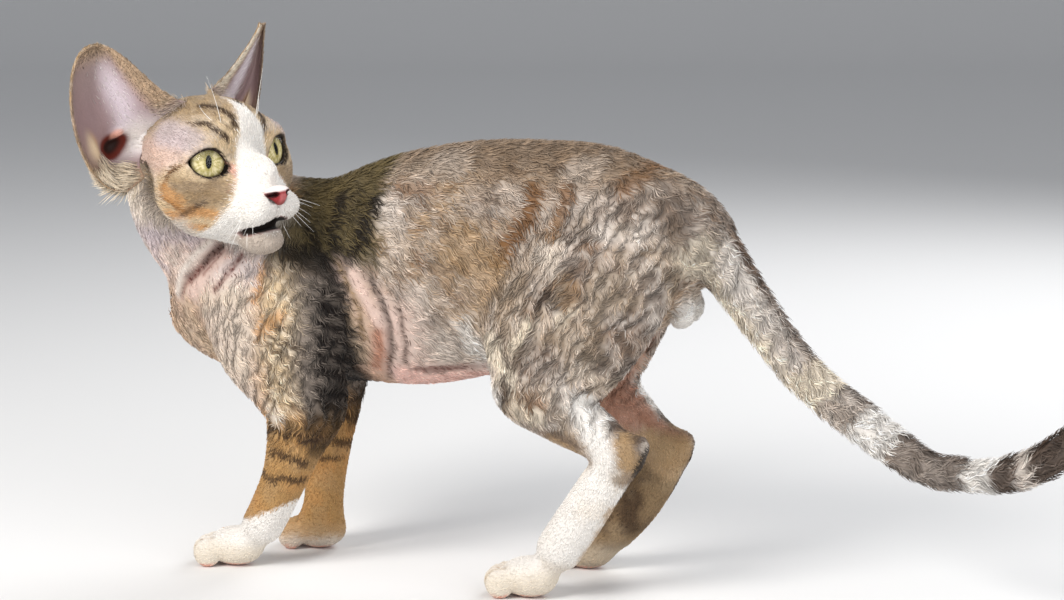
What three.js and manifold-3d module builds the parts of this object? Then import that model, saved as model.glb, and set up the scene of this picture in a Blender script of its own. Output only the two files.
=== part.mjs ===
import * as THREE from 'three';
import { mergeVertices } from 'three/addons/utils/BufferGeometryUtils.js';
import Module from 'manifold-3d';

// A young devon rex cat, standing and looking back over its left shoulder, in millimetres.
// +X runs from the chest to the tail, +Y to the cat's right side, +Z up, and the floor is z = 0.
// The flesh is one smooth field of swept tubes and ellipsoids, parted into named lengths by thin cuts.

const wasm = await Module();
wasm.setup();

// The gap between touching pieces, the shortest edge kept, and the mesh step of each kind of length.
const gap = 0.3;
const shortestEdge = 0.12;
const steps = { head: 4.9, nose: 2.7, neck: 9.5, torso: 12.5, leg: 8, paw: 5.3, tail: 8, scrotum: 6 };

// Eyes, ears, mouth and toes.
const eye = { at: [16.3, 20.4, 0], radius: 11, turnOut: 20, tilt: 9, halfLength: 9.9, halfHeight: 8 };
const lid = { thickness: 2.4, rim: 1.3 };
const mouth = { halfWidth: 15, front: 45, sweepBack: 11, height: -37, drop: 5.5, open: 5.6, shut: 0.8 };
const paw = {
  length: 17, width: 12.5, height: 12, toeReach: 17, toeSpacing: 5.8, toe: [8.5, 4.9, 9], sink: 0.8,
};

// Swept tubes. Each station is x, y, z, half width and half height of the section there.
const trunk = [
  [-134, 0, 143, 19, 20], [-120, 0, 147, 27, 36], [-96, 0, 154, 34, 50], [-66, 0, 161, 38, 58],
  [-36, 0, 166, 41, 60], [0, 0, 173, 43, 67], [40, 0, 182, 44, 67], [80, 0, 187, 42, 64],
  [115, 0, 192, 40, 57], [143, 0, 199, 33, 39], [158, 0, 202, 24, 26], [166, 0, 205, 14, 14],
];
const neck = [
  [-66, 0, 170, 36, 48], [-93, -2, 180, 36, 48], [-115, -7, 193, 34, 44], [-129, -15, 209, 32, 38],
  [-133, -22, 224, 30, 32], [-131, -28, 237, 26, 27],
];
const tail = [
  [158, 0, 206, 16, 17], [170, 0, 197, 16, 17], [186, 0, 175, 14.5, 15], [209, -1, 145, 13, 13.5],
  [230, -3, 123, 12.5, 13], [262, -7, 101, 12.5, 13], [290, -11, 84.5, 11.2, 11.5],
  [309, -13, 82, 10.8, 10.8], [328, -16, 83, 10.8, 10.8], [346, -19, 89, 11.5, 11.8],
  [362, -22, 100, 11, 11], [374, -25, 114, 9.5, 9.5], [382, -27, 129, 6.8, 6.8], [386, -28, 140, 3, 3],
];
const legs = {
  fore_left: {
    tubes: [[
      [-63, -25, 196, 11, 28], [-77, -29, 172, 14, 35], [-76, -32, 142, 16, 37], [-61, -33, 119, 16, 33],
      [-55, -32, 99, 15, 27], [-60, -30, 80, 13.5, 19.5], [-69, -28, 56, 12.5, 14.5], [-77, -27, 39, 12, 13],
      [-84, -26, 26, 12, 12.5],
    ]],
    pawAt: [-102, -25],
    heading: 188,
  },
  fore_right: {
    tubes: [[
      [-58, 25, 196, 11, 28], [-70, 29, 172, 14, 35], [-70, 32, 142, 16, 35], [-65, 33, 119, 15.5, 28],
      [-63, 32, 99, 14.5, 21], [-63, 29, 78, 13, 16], [-65, 27, 58, 12, 13.6], [-67, 25, 40, 11.8, 12.5],
      [-68, 24, 26, 12, 12.2],
    ]],
    pawAt: [-71, 24],
    heading: 186,
  },
  hind_left: {
    tubes: [
      [
        [131, -22, 216, 14, 26], [123, -30, 192, 17, 42], [107, -34, 165, 18.5, 45], [94, -36, 140, 18, 41],
        [88, -37, 122, 16, 32], [87, -37, 108, 13.5, 22],
      ],
      [
        [75, -37, 121, 13.5, 18], [96, -36, 107, 14, 19],
        [116, -35, 95, 12.5, 15.5], [131, -34, 84, 11, 12.5],
      ],
      [[131, -34, 84, 10, 11], [141, -33, 89, 7.5, 8]],
      [
        [133, -33, 83, 10.5, 12.5], [121, -33, 67, 12, 13.8],
        [109, -33, 48, 12.3, 13.8], [97, -33, 29, 12.8, 13.5],
      ],
    ],
    pawAt: [79, -33],
    heading: 184,
  },
  hind_right: {
    tubes: [
      [
        [131, 22, 216, 14, 26], [119, 30, 192, 17, 41], [106, 34, 165, 18.5, 41], [101, 36, 140, 17.5, 35],
        [98, 36, 122, 15.5, 29], [98, 36, 108, 13.5, 21],
      ],
      [[87, 36, 116, 13.5, 18], [107, 35, 101, 13.5, 18], [126, 34, 85, 12, 14.5], [141, 33, 74, 10.5, 12]],
      [[141, 33, 74, 10, 11], [150, 32, 78, 7.5, 8]],
      [
        [143, 32, 72, 10.5, 12.5], [133, 32, 56, 12, 13.8],
        [121, 32, 38, 12.3, 13.8], [110, 32, 25, 12.8, 13.2],
      ],
    ],
    pawAt: [93, 31],
    heading: 180,
  },
};
const scrotumLobes = [
  { at: [157, -7, 160], radii: [9.5, 7.5, 11.5] },
  { at: [159, 6, 161], radii: [9, 7.5, 11] },
];

// The head's own frame: forward, left and up from the point between the eyes. Its forms are ellipsoids.
const headPose = { yaw: 28, pitch: 5, roll: 5, at: [-98.2, -45.2, 238.8] };
const headForms = [
  { name: 'cranium', at: [-15, 0, 6], radii: [35, 31, 29], blend: 1 },
  { name: 'forehead', at: [8, 0, 12], radii: [21, 25, 19], blend: 12 },
  { name: 'nape', at: [-34, 0, -12], radii: [22, 25, 26], blend: 14 },
  { name: 'temple', at: [-4, 18, 0], radii: [24, 18, 22], blend: 10, paired: true },
  { name: 'zygoma', at: [7, 28, -7], radii: [14, 12, 12], blend: 9, paired: true },
  { name: 'cheek', at: [3, 23, -17], radii: [21, 17, 17], blend: 10, paired: true },
  { name: 'jowl', at: [6, 15, -31], radii: [19, 14, 12], blend: 10, paired: true },
  { name: 'maxilla', at: [21, 12, -22], radii: [16, 12, 14], blend: 10, paired: true },
  { name: 'bridge', at: [28, 0, -9], radii: [21, 10, 11], blend: 12 },
  { name: 'muzzle', at: [32, 0, -25], radii: [18, 13, 12], blend: 8 },
  { name: 'jaw', at: [15, 0, -39], radii: [24, 14, 10.5], blend: 8 },
  { name: 'chin', at: [31, 0, -47.5], radii: [12, 10.5, 7], blend: 9 },
  { name: 'whisker pad', at: [39.5, 9, -28.5], radii: [11, 10, 8.6], blend: 6, paired: true },
  { name: 'brow', at: [17, 19, 9.5], radii: [10, 13, 8], blend: 8, paired: true },
  { name: 'lids', at: eye.at, radii: Array(3).fill(eye.radius + lid.thickness), blend: 6, paired: true },
];
const noseForms = [
  { at: [49.2, 0, -19.5], radii: [5.5, 7.2, 4.6], blend: 1 },
  { at: [49.6, 0, -24], radii: [4, 3.2, 4.2], blend: 3 },
];
const nostril = { at: [53.5, 4.5, -20.3], radii: [3.4, 1.8, 1.3] };

// The ears are cups between an inner and an outer edge, each a curve over four corners in the head's frame.
// They are pushed backward between their edges. The left ear is turned more to the back than the right one.
const ear = { wall: 2.2, rows: 12, columns: 8, root: [-10, 22, 6] };
const earCups = {
  left: {
    inner: [[-13, 11, 36], [-14, 21, 39], [-17, 56, 66], [-21, 57, 68]],
    outer: [[-12, 30, 11], [-38, 63, 7], [-34, 68, 64], [-20, 61, 68]],
    backward: [-0.84, 0.51, -0.16],
    depthAtBase: 24,
  },
  right: {
    inner: [[2, -16, 33], [-1, -34, 37], [-9, -42, 67], [-13, -57, 70]],
    outer: [[-11, -54, -10], [-18, -86, -10], [-20, -83, 69], [-13, -61, 70]],
    backward: [-0.95, -0.3, -0.03],
    depthAtBase: 22,
  },
};

const colours = {
  coat: 0xa89684, head: 0xb59c7c, white: 0xe9e4dc, leg: 0x9a8570, ear: 0xa98c74,
  eye: 0xb9b04a, nose: 0xc66a72, tail: 0x9c8f84, scrotum: 0xd8cdbf,
};

const vector = (p) => new THREE.Vector3(...p);
const smoothMin = (a, b, k) => Math.min(a, b) - (Math.max(k - Math.abs(a - b), 0) ** 2) / (4 * k);

// Distance to a tube swept along a smooth line through its stations, with elliptical sections.
function sweptTube(stations, blend) {
  const line = (pick) => new THREE.CatmullRomCurve3(stations.map(pick), false, 'catmullrom', 0.5);
  const centre = line(([x, y, z]) => new THREE.Vector3(x, y, z));
  const section = line(([, , , a, b]) => new THREE.Vector3(a, b, 0));
  const count = 4 * (stations.length - 1);
  const ring = (_, i) => [centre.getPoint(i / count), section.getPoint(i / count)];
  const rings = Array.from({ length: count + 1 }, ring);
  const pieces = rings.slice(1).map(([end, endSize], i) => {
    const [start, startSize] = rings[i];
    const axis = end.clone().sub(start);
    const length = axis.length();
    axis.normalize();
    const side = new THREE.Vector3(0, 1, 0).addScaledVector(axis, -axis.y).normalize();
    return { start, axis, length, side, normal: axis.clone().cross(side), startSize, endSize };
  });
  const box = new THREE.Box3().setFromPoints(rings.map(([p]) => p));
  box.expandByScalar(Math.max(...stations.map((s) => s[4])) + 20);
  const offset = new THREE.Vector3();
  const distance = (p) => {
    if (!box.containsPoint(p)) return 1e3;
    let nearest = 1e3;
    for (const piece of pieces) {
      offset.subVectors(p, piece.start);
      const along = offset.dot(piece.axis);
      const t = Math.min(Math.max(along / piece.length, 0), 1);
      const over = along - t * piece.length;
      const u = offset.dot(piece.side);
      const v = offset.dot(piece.normal);
      const a = piece.startSize.x + (piece.endSize.x - piece.startSize.x) * t;
      const b = piece.startSize.y + (piece.endSize.y - piece.startSize.y) * t;
      const ratio = Math.hypot(u / a, v / b, over / Math.min(a, b)) + 1e-6;
      const value = ratio > 0.05 ? Math.hypot(u, v, over) * (1 - 1 / ratio) : -Math.min(a, b);
      nearest = Math.min(nearest, value);
    }
    return nearest;
  };
  return { distance, blend };
}

// Distance to an ellipsoid whose forward axis is turned about Z by its heading, in degrees.
function ellipsoid({ at, radii, blend, heading = 0 }) {
  const cosine = Math.cos(THREE.MathUtils.degToRad(heading));
  const sine = Math.sin(THREE.MathUtils.degToRad(heading));
  const distance = (p) => {
    const [dx, dy, dz] = [p.x - at[0], p.y - at[1], p.z - at[2]];
    const q = [(dx * cosine + dy * sine) / radii[0], (dy * cosine - dx * sine) / radii[1], dz / radii[2]];
    const near = Math.hypot(...q) + 1e-6;
    return (near * (near - 1)) / (Math.hypot(q[0] / radii[0], q[1] / radii[1], q[2] / radii[2]) + 1e-6);
  };
  return { distance, blend };
}

const union = (forms) => (p) => (
  forms.reduce((sum, form) => smoothMin(sum, form.distance(p), form.blend), 1e3));

const withPairs = (forms) => forms.flatMap((form) => (
  form.paired ? [form, { ...form, at: [form.at[0], -form.at[1], form.at[2]] }] : [form]));

// A paw: its low pad and four round toes, sunk a little so that the floor cuts a small flat.
function pawForms({ pawAt: [x, y], heading }) {
  const turn = THREE.MathUtils.degToRad(heading);
  const [cosine, sine] = [Math.cos(turn), Math.sin(turn)];
  const place = (forward, side, z) => [
    x + forward * cosine - side * sine, y + forward * sine + side * cosine, z];
  const padAt = place(0, 0, paw.height - paw.sink);
  const pad = { at: padAt, radii: [paw.length, paw.width, paw.height], blend: 6, heading };
  const toes = [-1.5, -0.5, 0.5, 1.5].map((i) => ({
    at: place(paw.toeReach - 2.4 * (Math.abs(i) - 0.5), paw.toeSpacing * i, paw.toe[2] - paw.sink),
    radii: paw.toe,
    blend: 2.5,
    heading: heading + 7 * i,
  }));
  return [pad, ...toes].map(ellipsoid);
}

// A closed surface where the field is zero, one vertex in each grid cell that it crosses, moved onto it.
function surface(field, box, step) {
  const size = box.getSize(new THREE.Vector3());
  const [nx, ny, nz] = [size.x, size.y, size.z].map((length) => Math.ceil(length / step) + 1);
  const index = (i, j, k) => (i * ny + j) * nz + k;
  const at = (i, j, k) => new THREE.Vector3(box.min.x + i * step, box.min.y + j * step, box.min.z + k * step);
  const values = new Float64Array(nx * ny * nz).fill(step);
  for (let i = 1; i < nx - 1; i += 1) {
    for (let j = 1; j < ny - 1; j += 1) {
      for (let k = 1; k < nz - 1; k += 1) values[index(i, j, k)] = field(at(i, j, k));
    }
  }
  const positions = [];
  const vertexOf = new Map();
  const corners = [0, 1, 2, 3, 4, 5, 6, 7].map((c) => [c & 1, (c >> 1) & 1, (c >> 2) & 1]);
  const edges = corners.flatMap((a, m) => corners.slice(m + 1).map((b) => [a, b]))
    .filter(([a, b]) => Math.abs(a[0] - b[0]) + Math.abs(a[1] - b[1]) + Math.abs(a[2] - b[2]) === 1);
  const settle = (p) => {
    const slope = new THREE.Vector3();
    for (let pass = 0; pass < 2; pass += 1) {
      for (const axis of ['x', 'y', 'z']) {
        const ahead = p.clone();
        const behind = p.clone();
        ahead[axis] += 0.2;
        behind[axis] -= 0.2;
        slope[axis] = (field(ahead) - field(behind)) / 0.4;
      }
      const move = -field(p) / Math.max(slope.lengthSq(), 0.2);
      p.addScaledVector(slope, THREE.MathUtils.clamp(move, -step / 3, step / 3));
    }
  };
  for (let i = 0; i < nx - 1; i += 1) {
    for (let j = 0; j < ny - 1; j += 1) {
      for (let k = 0; k < nz - 1; k += 1) {
        const sum = new THREE.Vector3();
        let crossings = 0;
        for (const [a, b] of edges) {
          const low = values[index(i + a[0], j + a[1], k + a[2])];
          const high = values[index(i + b[0], j + b[1], k + b[2])];
          if (low < 0 === high < 0) continue;
          const [start, end] = [a, b].map((corner) => at(i + corner[0], j + corner[1], k + corner[2]));
          sum.add(start.lerp(end, low / (low - high)));
          crossings += 1;
        }
        if (!crossings) continue;
        sum.divideScalar(crossings);
        if (Math.min(i, j, k) > 0 && i < nx - 2 && j < ny - 2 && k < nz - 2) settle(sum);
        vertexOf.set(index(i, j, k), positions.length / 3);
        positions.push(sum.x, sum.y, sum.z);
      }
    }
  }
  const triangles = [];
  const quad = (ring) => {
    const [a, b, c, d] = ring.map((n) => new THREE.Vector3().fromArray(positions, 3 * n));
    const split = a.distanceTo(c) < b.distanceTo(d) ? [0, 1, 2, 0, 2, 3] : [1, 2, 3, 1, 3, 0];
    triangles.push(...split.map((place) => ring[place]));
  };
  for (let i = 0; i < nx - 1; i += 1) {
    for (let j = 0; j < ny - 1; j += 1) {
      for (let k = 0; k < nz - 1; k += 1) {
        const here = values[index(i, j, k)] < 0;
        const ring = (cells) => cells.map((cell) => vertexOf.get(index(...cell)));
        const faces = [
          [values[index(i + 1, j, k)], [[i, j - 1, k - 1], [i, j, k - 1], [i, j, k], [i, j - 1, k]]],
          [values[index(i, j + 1, k)], [[i - 1, j, k - 1], [i - 1, j, k], [i, j, k], [i, j, k - 1]]],
          [values[index(i, j, k + 1)], [[i - 1, j - 1, k], [i, j - 1, k], [i, j, k], [i - 1, j, k]]],
        ];
        for (const [next, cells] of faces) {
          if (here === next < 0) continue;
          quad(here ? ring(cells) : ring(cells).reverse());
        }
      }
    }
  }
  return solid(positions, triangles);
}

function solid(positions, triangles) {
  const mesh = new wasm.Mesh({
    numProp: 3, vertProperties: new Float32Array(positions), triVerts: new Uint32Array(triangles),
  });
  return new wasm.Manifold(mesh);
}

function solidOf(geometry, matrix = new THREE.Matrix4()) {
  const bare = geometry.clone().applyMatrix4(matrix);
  for (const name of ['normal', 'uv']) bare.deleteAttribute(name);
  const merged = mergeVertices(bare, 1e-4);
  return solid(merged.attributes.position.array, merged.index.array);
}

// The body's triangles, with the shortest edges that the cuts leave closed up to a point.
function geometryOf(body) {
  const mesh = body.getMesh();
  const corner = (i) => vector(mesh.vertProperties.slice(i * mesh.numProp, i * mesh.numProp + 3));
  const kept = Array.from({ length: mesh.numVert }, (_, i) => i);
  const root = (i) => (kept[i] === i ? i : root(kept[i]));
  for (let i = 0; i < mesh.triVerts.length; i += 1) {
    const [a, b] = [mesh.triVerts[i], mesh.triVerts[i % 3 === 2 ? i - 2 : i + 1]];
    const ends = [root(a), root(b)];
    if (corner(a).distanceTo(corner(b)) < shortestEdge) kept[Math.max(...ends)] = Math.min(...ends);
  }
  const triangles = new Map();
  for (let i = 0; i < mesh.triVerts.length; i += 3) {
    const triangle = [0, 1, 2].map((j) => root(mesh.triVerts[i + j]));
    const key = [...triangle].sort().join();
    if (new Set(triangle).size < 3) continue;
    if (triangles.has(key)) triangles.delete(key);
    else triangles.set(key, triangle);
  }
  const used = [...new Set([...triangles.values()].flat())];
  const order = new Map(used.map((i, n) => [i, n]));
  const positions = used.flatMap((i) => corner(i).toArray());
  const geometry = new THREE.BufferGeometry();
  geometry.setAttribute('position', new THREE.Float32BufferAttribute(positions, 3));
  geometry.setIndex([...triangles.values()].flat().map((i) => order.get(i)));
  geometry.computeVertexNormals();
  return geometry;
}

const largest = (body) => (
  body.decompose().reduce((best, piece) => (piece.volume() > best.volume() ? piece : best)));

// A block with one face through the cut, facing along, that reaches back from it by the depth.
function cell({ cut, along, depth = 130, width = 90 }, grow = 0) {
  const normal = vector(along).normalize();
  const block = new THREE.BoxGeometry(width + 2 * grow, width + 2 * grow, depth + 2 * grow);
  const turn = new THREE.Quaternion().setFromUnitVectors(new THREE.Vector3(0, 0, 1), normal);
  const centre = vector(cut).addScaledVector(normal, -depth / 2);
  return solidOf(block, new THREE.Matrix4().compose(centre, turn, new THREE.Vector3(1, 1, 1)));
}

// A closed sheet body between two surfaces of the unit square, stitched round its border.
function sheet(front, back, rows, columns) {
  const positions = [];
  const triangles = [];
  const vertex = (face, i, j) => (face * (rows + 1) + i) * (columns + 1) + j;
  for (const face of [front, back]) {
    for (let i = 0; i <= rows; i += 1) {
      for (let j = 0; j <= columns; j += 1) positions.push(...face(i / rows, j / columns).toArray());
    }
  }
  const quad = (a, b, c, d) => triangles.push(a, b, c, a, c, d);
  for (let i = 0; i < rows; i += 1) {
    for (let j = 0; j < columns; j += 1) {
      quad(vertex(0, i, j), vertex(0, i + 1, j), vertex(0, i + 1, j + 1), vertex(0, i, j + 1));
      quad(vertex(1, i, j + 1), vertex(1, i + 1, j + 1), vertex(1, i + 1, j), vertex(1, i, j));
    }
  }
  for (let i = 0; i < rows; i += 1) {
    quad(vertex(1, i, 0), vertex(1, i + 1, 0), vertex(0, i + 1, 0), vertex(0, i, 0));
    quad(vertex(0, i, columns), vertex(0, i + 1, columns), vertex(1, i + 1, columns), vertex(1, i, columns));
  }
  for (let j = 0; j < columns; j += 1) {
    quad(vertex(0, 0, j), vertex(0, 0, j + 1), vertex(1, 0, j + 1), vertex(1, 0, j));
    quad(vertex(1, rows, j), vertex(1, rows, j + 1), vertex(0, rows, j + 1), vertex(0, rows, j));
  }
  const body = solid(positions, triangles);
  return body.volume() > 0 ? body : solid(positions, triangles.reverse());
}

// Frames: the head's forward, left and up axes in the cat's frame.
const radians = THREE.MathUtils.degToRad;
const headToCat = new THREE.Matrix4()
  .multiply(new THREE.Matrix4().makeTranslation(...headPose.at))
  .multiply(new THREE.Matrix4().makeRotationZ(-radians(headPose.yaw)))
  .multiply(new THREE.Matrix4().makeRotationY(-radians(headPose.pitch)))
  .multiply(new THREE.Matrix4().makeRotationX(radians(headPose.roll)));
const catToHead = headToCat.clone().invert();

const trunkForms = [sweptTube(trunk, 1), sweptTube(neck, 16)];
const tailForm = sweptTube(tail, 9);
const scrotumForms = scrotumLobes.map((lobe) => ellipsoid({ ...lobe, blend: 3 }));
const legForms = Object.fromEntries(Object.entries(legs).map(([name, leg]) => [
  name, [...leg.tubes.map((stations, i) => sweptTube(stations, i === 0 ? 12 : 6)), ...pawForms(leg)],
]));
const skull = union(withPairs(headForms).map(ellipsoid));
const backOfSkull = union(headForms.filter(({ name }) => ['cranium', 'nape'].includes(name)).map(ellipsoid));
const nearHead = (p) => p.distanceTo(vector(headPose.at)) < 100;
const skullInCat = {
  distance: (p) => (nearHead(p) ? backOfSkull(p.clone().applyMatrix4(catToHead)) : 1e3),
  blend: 12,
};
const upperNeck = sweptTube(neck.slice(2), 12);
const neckInHead = {
  distance: (p) => upperNeck.distance(p.clone().applyMatrix4(headToCat)),
  blend: 12,
};

// Where the body is parted. Each cut faces along, away from the length that it ends.
const headCut = { cut: [-20, 0, -28], along: [-0.616, 0, -0.788], depth: 170, width: 220 };
const neckCut = { cut: [-104, 0, 173], along: [0.807, 0, -0.59], depth: 120, width: 190 };
const scrotumCut = { cut: [151, 0, 168], along: [-0.6, 0, 0.8], depth: 32, width: 31 };
const tailCuts = [
  { name: 'tail_tip', cut: [336, -17.5, 85.5], along: [-0.96, 0.16, -0.22], depth: 90, width: 120 },
  { name: 'tail_end', cut: [284, -10, 87.5], along: [-0.86, 0.12, 0.5], depth: 90, width: 90 },
  { name: 'tail_middle', cut: [226, -2.5, 127], along: [-0.69, 0.07, 0.72], depth: 100, width: 90 },
  { name: 'tail_base', cut: [181, 0, 186], along: [-0.6, 0, 0.8], depth: 100, width: 40 },
];
const cutSizes = {
  paw: { depth: 70, width: 90, step: steps.paw },
  hindPaw: { depth: 80, width: 100, step: steps.paw },
  foreleg: { depth: 130, width: 116, step: steps.leg },
  foot: { depth: 130, width: 150, step: steps.leg },
  shank: { depth: 80, width: 120, step: steps.leg },
  thigh: { depth: 60, width: 138, step: steps.leg + 1 },
};
const legCuts = {
  fore_left: [
    { name: 'paw_fore_left', cut: [-85, -26, 25], along: [9, -1, 13], ...cutSizes.paw },
    { name: 'foreleg_left', cut: [-62, -68, 112], along: [0, 0, 1], ...cutSizes.foreleg },
  ],
  fore_right: [
    { name: 'paw_fore_right', cut: [-62, 24, 25], along: [5, 1, 13], ...cutSizes.paw },
    { name: 'foreleg_right', cut: [-52, 68, 112], along: [0, 0, 1], ...cutSizes.foreleg },
  ],
  hind_left: [
    { name: 'paw_hind_left', cut: [95, -33, 26], along: [12, 0, 19], ...cutSizes.hindPaw },
    { name: 'foot_hind_left', cut: [121, -34, 78], along: [-0.58, 0, 0.81], ...cutSizes.foot },
    { name: 'shank_hind_left', cut: [95, -75, 112], along: [0, 0, 1], ...cutSizes.shank },
    { name: 'thigh_left', cut: [112, -85, 160], along: [-0.17, 0, 1], ...cutSizes.thigh },
  ],
  hind_right: [
    { name: 'paw_hind_right', cut: [110, 31, 25], along: [11, 0, 15], ...cutSizes.hindPaw },
    { name: 'foot_hind_right', cut: [132, 33, 71], along: [-0.58, 0, 0.81], ...cutSizes.foot },
    { name: 'shank_hind_right', cut: [105, 75, 112], along: [0, 0, 1], ...cutSizes.shank },
    { name: 'thigh_right', cut: [112, 85, 160], along: [-0.17, 0, 1], ...cutSizes.thigh },
  ],
};

const cat = new THREE.Group();
const head = new THREE.Group();
head.applyMatrix4(headToCat);
cat.add(head);

function addNode(group, name, body, colour, roughness = 0.9) {
  const material = new THREE.MeshStandardMaterial({ color: colour, roughness, metalness: 0 });
  const mesh = new THREE.Mesh(geometryOf(body), material);
  mesh.name = name;
  group.add(mesh);
}

// One length of the body: the field's surface inside its own cell, clear of the cells cut before it.
function length(forms, own, before, step, box) {
  const block = cell(own);
  const reach = box ?? boxOf(block);
  reach.expandByScalar(step * 1.5);
  reach.min.z = Math.max(reach.min.z, -step * 2);
  const flesh = surface(union(forms), reach, step);
  const pieces = before.map((other) => cell(other, gap));
  return largest(pieces.reduce((body, piece) => body.subtract(piece), flesh.intersect(block)));
}

function boxOf(body) {
  const bounds = body.boundingBox();
  return new THREE.Box3(vector(bounds.min), vector(bounds.max));
}

const onFloor = (body) => largest(body.trimByPlane([0, 0, 1], 0));

function addLegs() {
  for (const [leg, cuts] of Object.entries(legCuts)) {
    const forms = [...trunkForms, ...legForms[leg]];
    cuts.forEach((own, i) => {
      const box = boxOf(cell(own)).intersect(legBox(leg));
      const body = length(forms, own, cuts.slice(0, i), own.step, box);
      addNode(cat, own.name, onFloor(body), i === 0 ? colours.white : colours.leg);
    });
  }
}

function legBox(leg) {
  const side = leg.endsWith('left') ? -1 : 1;
  const box = new THREE.Box3();
  for (const [x, y, z, , b] of legs[leg].tubes.flat()) {
    box.union(new THREE.Box3(vector([x - b - 20, y - 24, z - b]), vector([x + b + 9, y + 24, z + b])));
  }
  const [x, y] = legs[leg].pawAt;
  box.union(new THREE.Box3(vector([x - 30, y - 17, -2]), vector([x + 30, y + 17, 20])));
  const inner = new THREE.Vector3(0, 6 * side, 100);
  return box.expandByPoint(new THREE.Vector3(box.min.x, inner.y, inner.z));
}

function addTail() {
  const middles = tail.map(([x, y, z]) => vector([x, y, z]));
  const tailBox = new THREE.Box3().setFromPoints(middles).expandByScalar(16);
  tailCuts.forEach((own, i) => {
    const box = boxOf(cell(own)).intersect(tailBox);
    const body = length([...trunkForms, tailForm], own, tailCuts.slice(0, i), steps.tail, box);
    addNode(cat, own.name, body, colours.tail);
  });
  const forms = [...trunkForms, tailForm, ...scrotumForms];
  addNode(cat, 'scrotum', length(forms, scrotumCut, tailCuts, steps.scrotum), colours.scrotum);
}

// The head's skin with the top of the neck, grown by the gap where other pieces are cut back to it.
function headSurface(grow) {
  const flesh = union([{ distance: skull, blend: 1 }, neckInHead]);
  const box = new THREE.Box3(vector([-75, -48, -68]), vector([58, 48, 48]));
  return surface((p) => flesh(p) - grow, box, steps.head);
}

function addTorsoAndNeck() {
  const grownHead = headSurface(gap).intersect(cell(headCut, gap)).transform(headToCat.elements);
  const upperLegs = Object.values(legForms).map((forms) => forms[0]);
  const forms = [...trunkForms, ...upperLegs, tailForm, ...scrotumForms];
  const neckBox = new THREE.Box3(vector([-190, -60, 90]), vector([-45, 50, 265]));
  const neckLength = length([...forms, skullInCat], neckCut, [], steps.neck, neckBox);
  addNode(cat, 'neck', largest(neckLength.subtract(grownHead)), colours.coat);
  const bodyBox = new THREE.Box3(vector([-150, -75, 80]), vector([205, 75, 275]));
  const whole = surface(union(forms), bodyBox, steps.torso);
  const others = [neckCut, scrotumCut, ...tailCuts, ...Object.values(legCuts).flat()];
  const torso = others.reduce((body, other) => body.subtract(cell(other, gap)), whole);
  addNode(cat, 'torso', largest(torso.subtract(grownHead)), colours.coat);
}

// An eye's frame: its own x axis looks out along the gaze, its z axis is up.
function eyeMatrix(side) {
  const [x, y, z] = eye.at;
  return new THREE.Matrix4().makeTranslation(x, side * y, z)
    .multiply(new THREE.Matrix4().makeRotationZ(side * radians(eye.turnOut)))
    .multiply(new THREE.Matrix4().makeRotationX(side * radians(eye.tilt)));
}

const eyeBall = (side, grow = 0) => solidOf(
  new THREE.SphereGeometry(eye.radius + grow, 16, 11),
  eyeMatrix(side).multiply(new THREE.Matrix4().makeRotationZ(-Math.PI / 2)),
);

const almond = (turn) => {
  const across = Math.cos(turn) * eye.halfLength;
  return [across, Math.sin(turn) * eye.halfHeight * Math.sqrt(Math.abs(Math.sin(turn)) * 0.35 + 0.65)];
};

// The opening between the lids is a straight tunnel of almond section, out along the gaze.
function lidOpening(side) {
  const corners = Array.from({ length: 20 }, (_, i) => new THREE.Vector2(...almond(i * Math.PI / 10)));
  const outline = new THREE.Shape(corners);
  const tunnel = new THREE.ExtrudeGeometry(outline, { depth: 24, bevelEnabled: false, steps: 1 });
  const outward = new THREE.Matrix4().makeBasis(
    new THREE.Vector3(0, 1, 0), new THREE.Vector3(0, 0, 1), new THREE.Vector3(1, 0, 0),
  );
  return solidOf(tunnel, eyeMatrix(side).multiply(outward));
}

// The rolled edge of the lids: a round cord laid over the eyeball along the almond.
function lidRim(side) {
  const [around, across] = [20, 5];
  const matrix = eyeMatrix(side);
  const positions = [];
  const triangles = [];
  const onLid = (turn) => {
    const [y, z] = almond(turn);
    const reach = eye.radius + lid.rim;
    const spread = Math.min(Math.hypot(y, z) * 1.12, reach * 0.97) / Math.hypot(y, z);
    const [across, up] = [y * spread, z * spread];
    return new THREE.Vector3(Math.sqrt(Math.max(reach ** 2 - across ** 2 - up ** 2, 1)), across, up);
  };
  for (let i = 0; i < around; i += 1) {
    const turn = (i * 2 * Math.PI) / around;
    const centre = onLid(turn);
    const forward = onLid(turn + 0.02).sub(centre).normalize();
    const outward = centre.clone().normalize();
    const sideways = forward.clone().cross(outward);
    for (let j = 0; j < across; j += 1) {
      const angle = (j * 2 * Math.PI) / across;
      const point = centre.clone().addScaledVector(outward, lid.rim * Math.cos(angle));
      point.addScaledVector(sideways, lid.rim * Math.sin(angle)).applyMatrix4(matrix);
      positions.push(...point.toArray());
      const [a, b] = [i * across + j, i * across + ((j + 1) % across)];
      const next = ((i + 1) % around) * across;
      triangles.push(a, next + j, b, b, next + j, next + ((j + 1) % across));
    }
  }
  const rim = solid(positions, triangles);
  return rim.volume() > 0 ? rim : solid(positions, triangles.reverse());
}

// The line of the mouth: a thin curved wedge between the lips, open a little in the middle.
function mouthSlit() {
  const face = (lift) => (s, t) => {
    const across = 2 * s - 1;
    const reach = 8 - 17 * t;
    const front = mouth.front - mouth.sweepBack * across ** 2;
    const direction = new THREE.Vector3(front - 20, mouth.halfWidth * across, 0).normalize();
    const open = (mouth.shut + (mouth.open - mouth.shut) * (1 - across ** 2)) * (1 - 0.5 * t);
    return new THREE.Vector3(
      front,
      mouth.halfWidth * across,
      mouth.height - mouth.drop * across ** 2 + (lift * open) / 2,
    ).addScaledVector(direction, reach);
  };
  return sheet(face(1), face(-1), 12, 3);
}

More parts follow.
